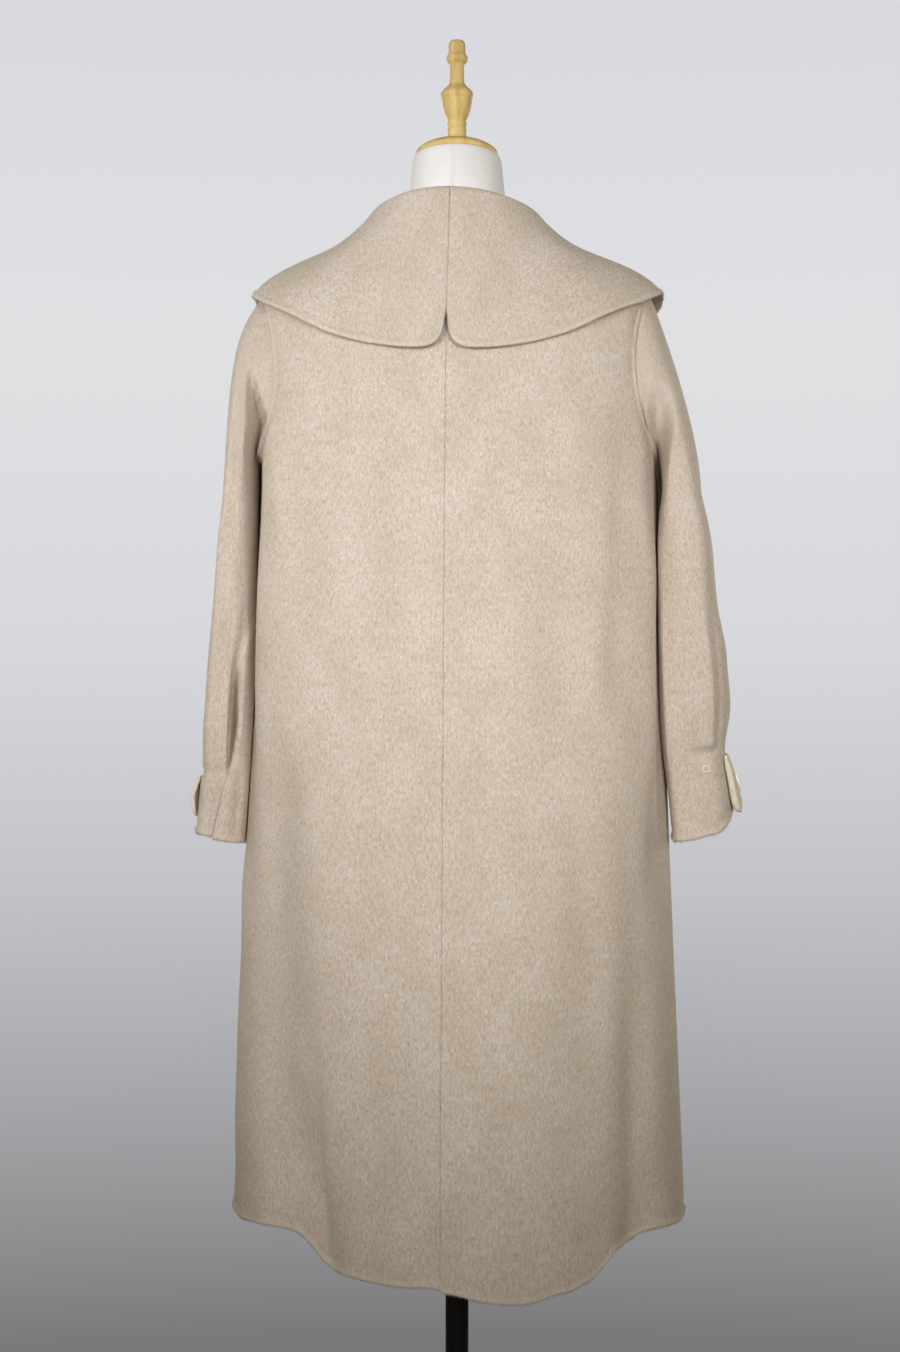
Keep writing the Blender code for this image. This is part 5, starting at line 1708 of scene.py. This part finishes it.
# Spot lamps: beam is the cone in degrees, soft the size of the light
LAMPS = table(
    "name place target power colour beam soft",
    ("key", (-1.00, 2.90, 1.40), (0.0, 0.0, 1.06), 217.0, WHITE, 38.5, 0.6),
    ("second", (1.05, 2.88, 1.40), (0.0, 0.0, 1.16), 190.0, WHITE, 38.5, 0.6),
    ("right side", (-2.95, 0.6, 1.40), (0.0, 0.0, 1.15), 50.0, (1.0, 0.94, 0.80), 38.5, 0.6),
    ("left side", (2.95, 0.6, 1.40), (0.0, 0.0, 1.15), 122.0, (1.0, 0.98, 0.94), 38.5, 0.6),
    ("front right", (-1.70, -2.55, 1.50), (0.0, 0.0, 1.15), 150.0, WHITE, 38.5, 0.6),
    ("front left", (1.75, -2.52, 1.50), (0.0, 0.0, 1.15), 150.0, WHITE, 38.5, 0.6),
    ("low", (-0.30, 2.90, 1.00), (-0.06, 0.10, 0.64), 35.0, (1.0, 0.95, 0.82), 17.0, 0.3),
    ("floor", (0.0, -2.40, 1.00), (0.0, -0.05, 0.0), 170.0, WHITE, 30.0, 0.3),
    ("top", (0.4, 2.9, 1.72), (0.0, 0.0, 1.60), 80.0, WHITE, 12.0, 0.3),
)


def camera():
    """Camera behind the coat, level with its middle."""
    data = bpy.data.cameras.new("camera")
    data.sensor_width = SENSOR
    data.lens = SENSOR * FOCAL_PIXELS / FRAME_LONG
    data.shift_x = -AXIS_OFFSET_PIXELS / FRAME_LONG
    eye = bpy.data.objects.new("camera", data)
    aside = math.sin(CAMERA_TURN) * CAMERA_DISTANCE
    behind = -math.cos(CAMERA_TURN) * CAMERA_DISTANCE
    eye.location = (aside, behind, CAMERA_HEIGHT)
    eye.rotation_euler = (0.5 * math.pi, 0.0, CAMERA_TURN)
    bpy.context.scene.collection.objects.link(eye)
    bpy.context.scene.camera = eye


def floor():
    """Pale round floor under the base."""
    mesh = finished_mesh("floor", spun_shape(FLOOR_PROFILE, FLOOR_SEGMENTS), TURNED_SHARP)
    material, tree, shader = new_material("pale_floor", roughness=0.6)
    place = object_place(tree)
    mottle = noise(tree, place, (6.0, 6.0, 6.0), detail=3.0, roughness=0.5)
    colour = ramp(tree, mottle, ((0.3, (0.78, 0.79, 0.82)), (0.7, (0.82, 0.83, 0.86))))
    tree.links.new(colour, shader.inputs["Base Color"])
    mesh.materials.append(material)
    disc = bpy.data.objects.new("floor", mesh)
    bpy.context.scene.collection.objects.link(disc)


def backdrop():
    """Plain grey surroundings with painted shade, darker towards the ground where the light falls off, and an
    even soft fill of light.
    """
    world = bpy.data.worlds.new("studio")
    bpy.context.scene.world = world
    world.use_nodes = True
    tree = world.node_tree
    place = tree.nodes.new("ShaderNodeTexCoord")
    split = tree.nodes.new("ShaderNodeSeparateXYZ")
    tree.links.new(place.outputs["Generated"], split.inputs["Vector"])
    height = add_node(tree, "ShaderNodeMapRange")
    height.inputs["From Min"].default_value = -BACKDROP_REACH
    height.inputs["From Max"].default_value = BACKDROP_REACH
    tree.links.new(split.outputs["Z"], height.inputs["Value"])
    # Painted shade: the backdrop seen by the camera darkens towards the ground
    sheet = ramp(tree, height.outputs["Result"], BACKDROP_SHADE_TONES)
    seen = tree.nodes["Background"]
    tree.links.new(sheet, seen.inputs["Color"])
    fill = add_node(tree, "ShaderNodeBackground", Color=FILL_COLOUR, Strength=FILL_STRENGTH)
    path = tree.nodes.new("ShaderNodeLightPath")
    choose = tree.nodes.new("ShaderNodeMixShader")
    tree.links.new(path.outputs["Is Camera Ray"], choose.inputs["Fac"])
    tree.links.new(fill.outputs["Background"], choose.inputs[1])
    tree.links.new(seen.outputs["Background"], choose.inputs[2])
    tree.links.new(choose.outputs["Shader"], tree.nodes["World Output"].inputs["Surface"])


def lights():
    """Soft lamps at chest height behind the coat, dimmer towards the hem, and weaker ones round it."""
    for lamp in LAMPS:
        data = bpy.data.lights.new(lamp.name, "SPOT")
        data.energy = lamp.power
        data.color = lamp.colour
        data.spot_size = math.radians(lamp.beam)
        data.spot_blend = 1.0
        data.shadow_soft_size = lamp.soft
        thing = bpy.data.objects.new(lamp.name, data)
        thing.location = lamp.place
        aim = Vector(lamp.target) - Vector(lamp.place)
        thing.rotation_euler = aim.to_track_quat("-Z", "Y").to_euler()
        bpy.context.scene.collection.objects.link(thing)


# Assembly

SIDES = ((1, "left"), (-1, "right"))


def coat(wool, hair, tab_wool, horn, thread):
    """All the coat's cut pieces."""
    for part in ("back", "front"):
        for side, word in SIDES:
            panel(part + "_" + word, side, part == "back", wool, hair)
    for side, word in SIDES:
        sleeve_piece("sleeve_" + word + "_top", side, True, wool, hair)
        sleeve_piece("sleeve_" + word + "_under", side, False, wool, hair)
        collar_half("collar_" + word, side, wool, hair)
        cuff_tab("cuff_tab_" + word, side, tab_wool)
        cuff_button("cuff_button_" + word, side, horn)
    cuff_stitch("cuff_stitch_right", -1, thread)


def main():
    """Build the dressed form and its studio."""
    bpy.context.scene.view_settings.view_transform = "Standard"
    dress_form(white_jersey(), waxed_beech(), black_enamel())
    wool = wool_melange("wool_melange", paler=0.0)
    coat(wool, wool_hairs(), wool_melange("wool_tabs", paler=0.6), cream_horn(), cream_thread())
    camera()
    floor()
    backdrop()
    lights()


main()
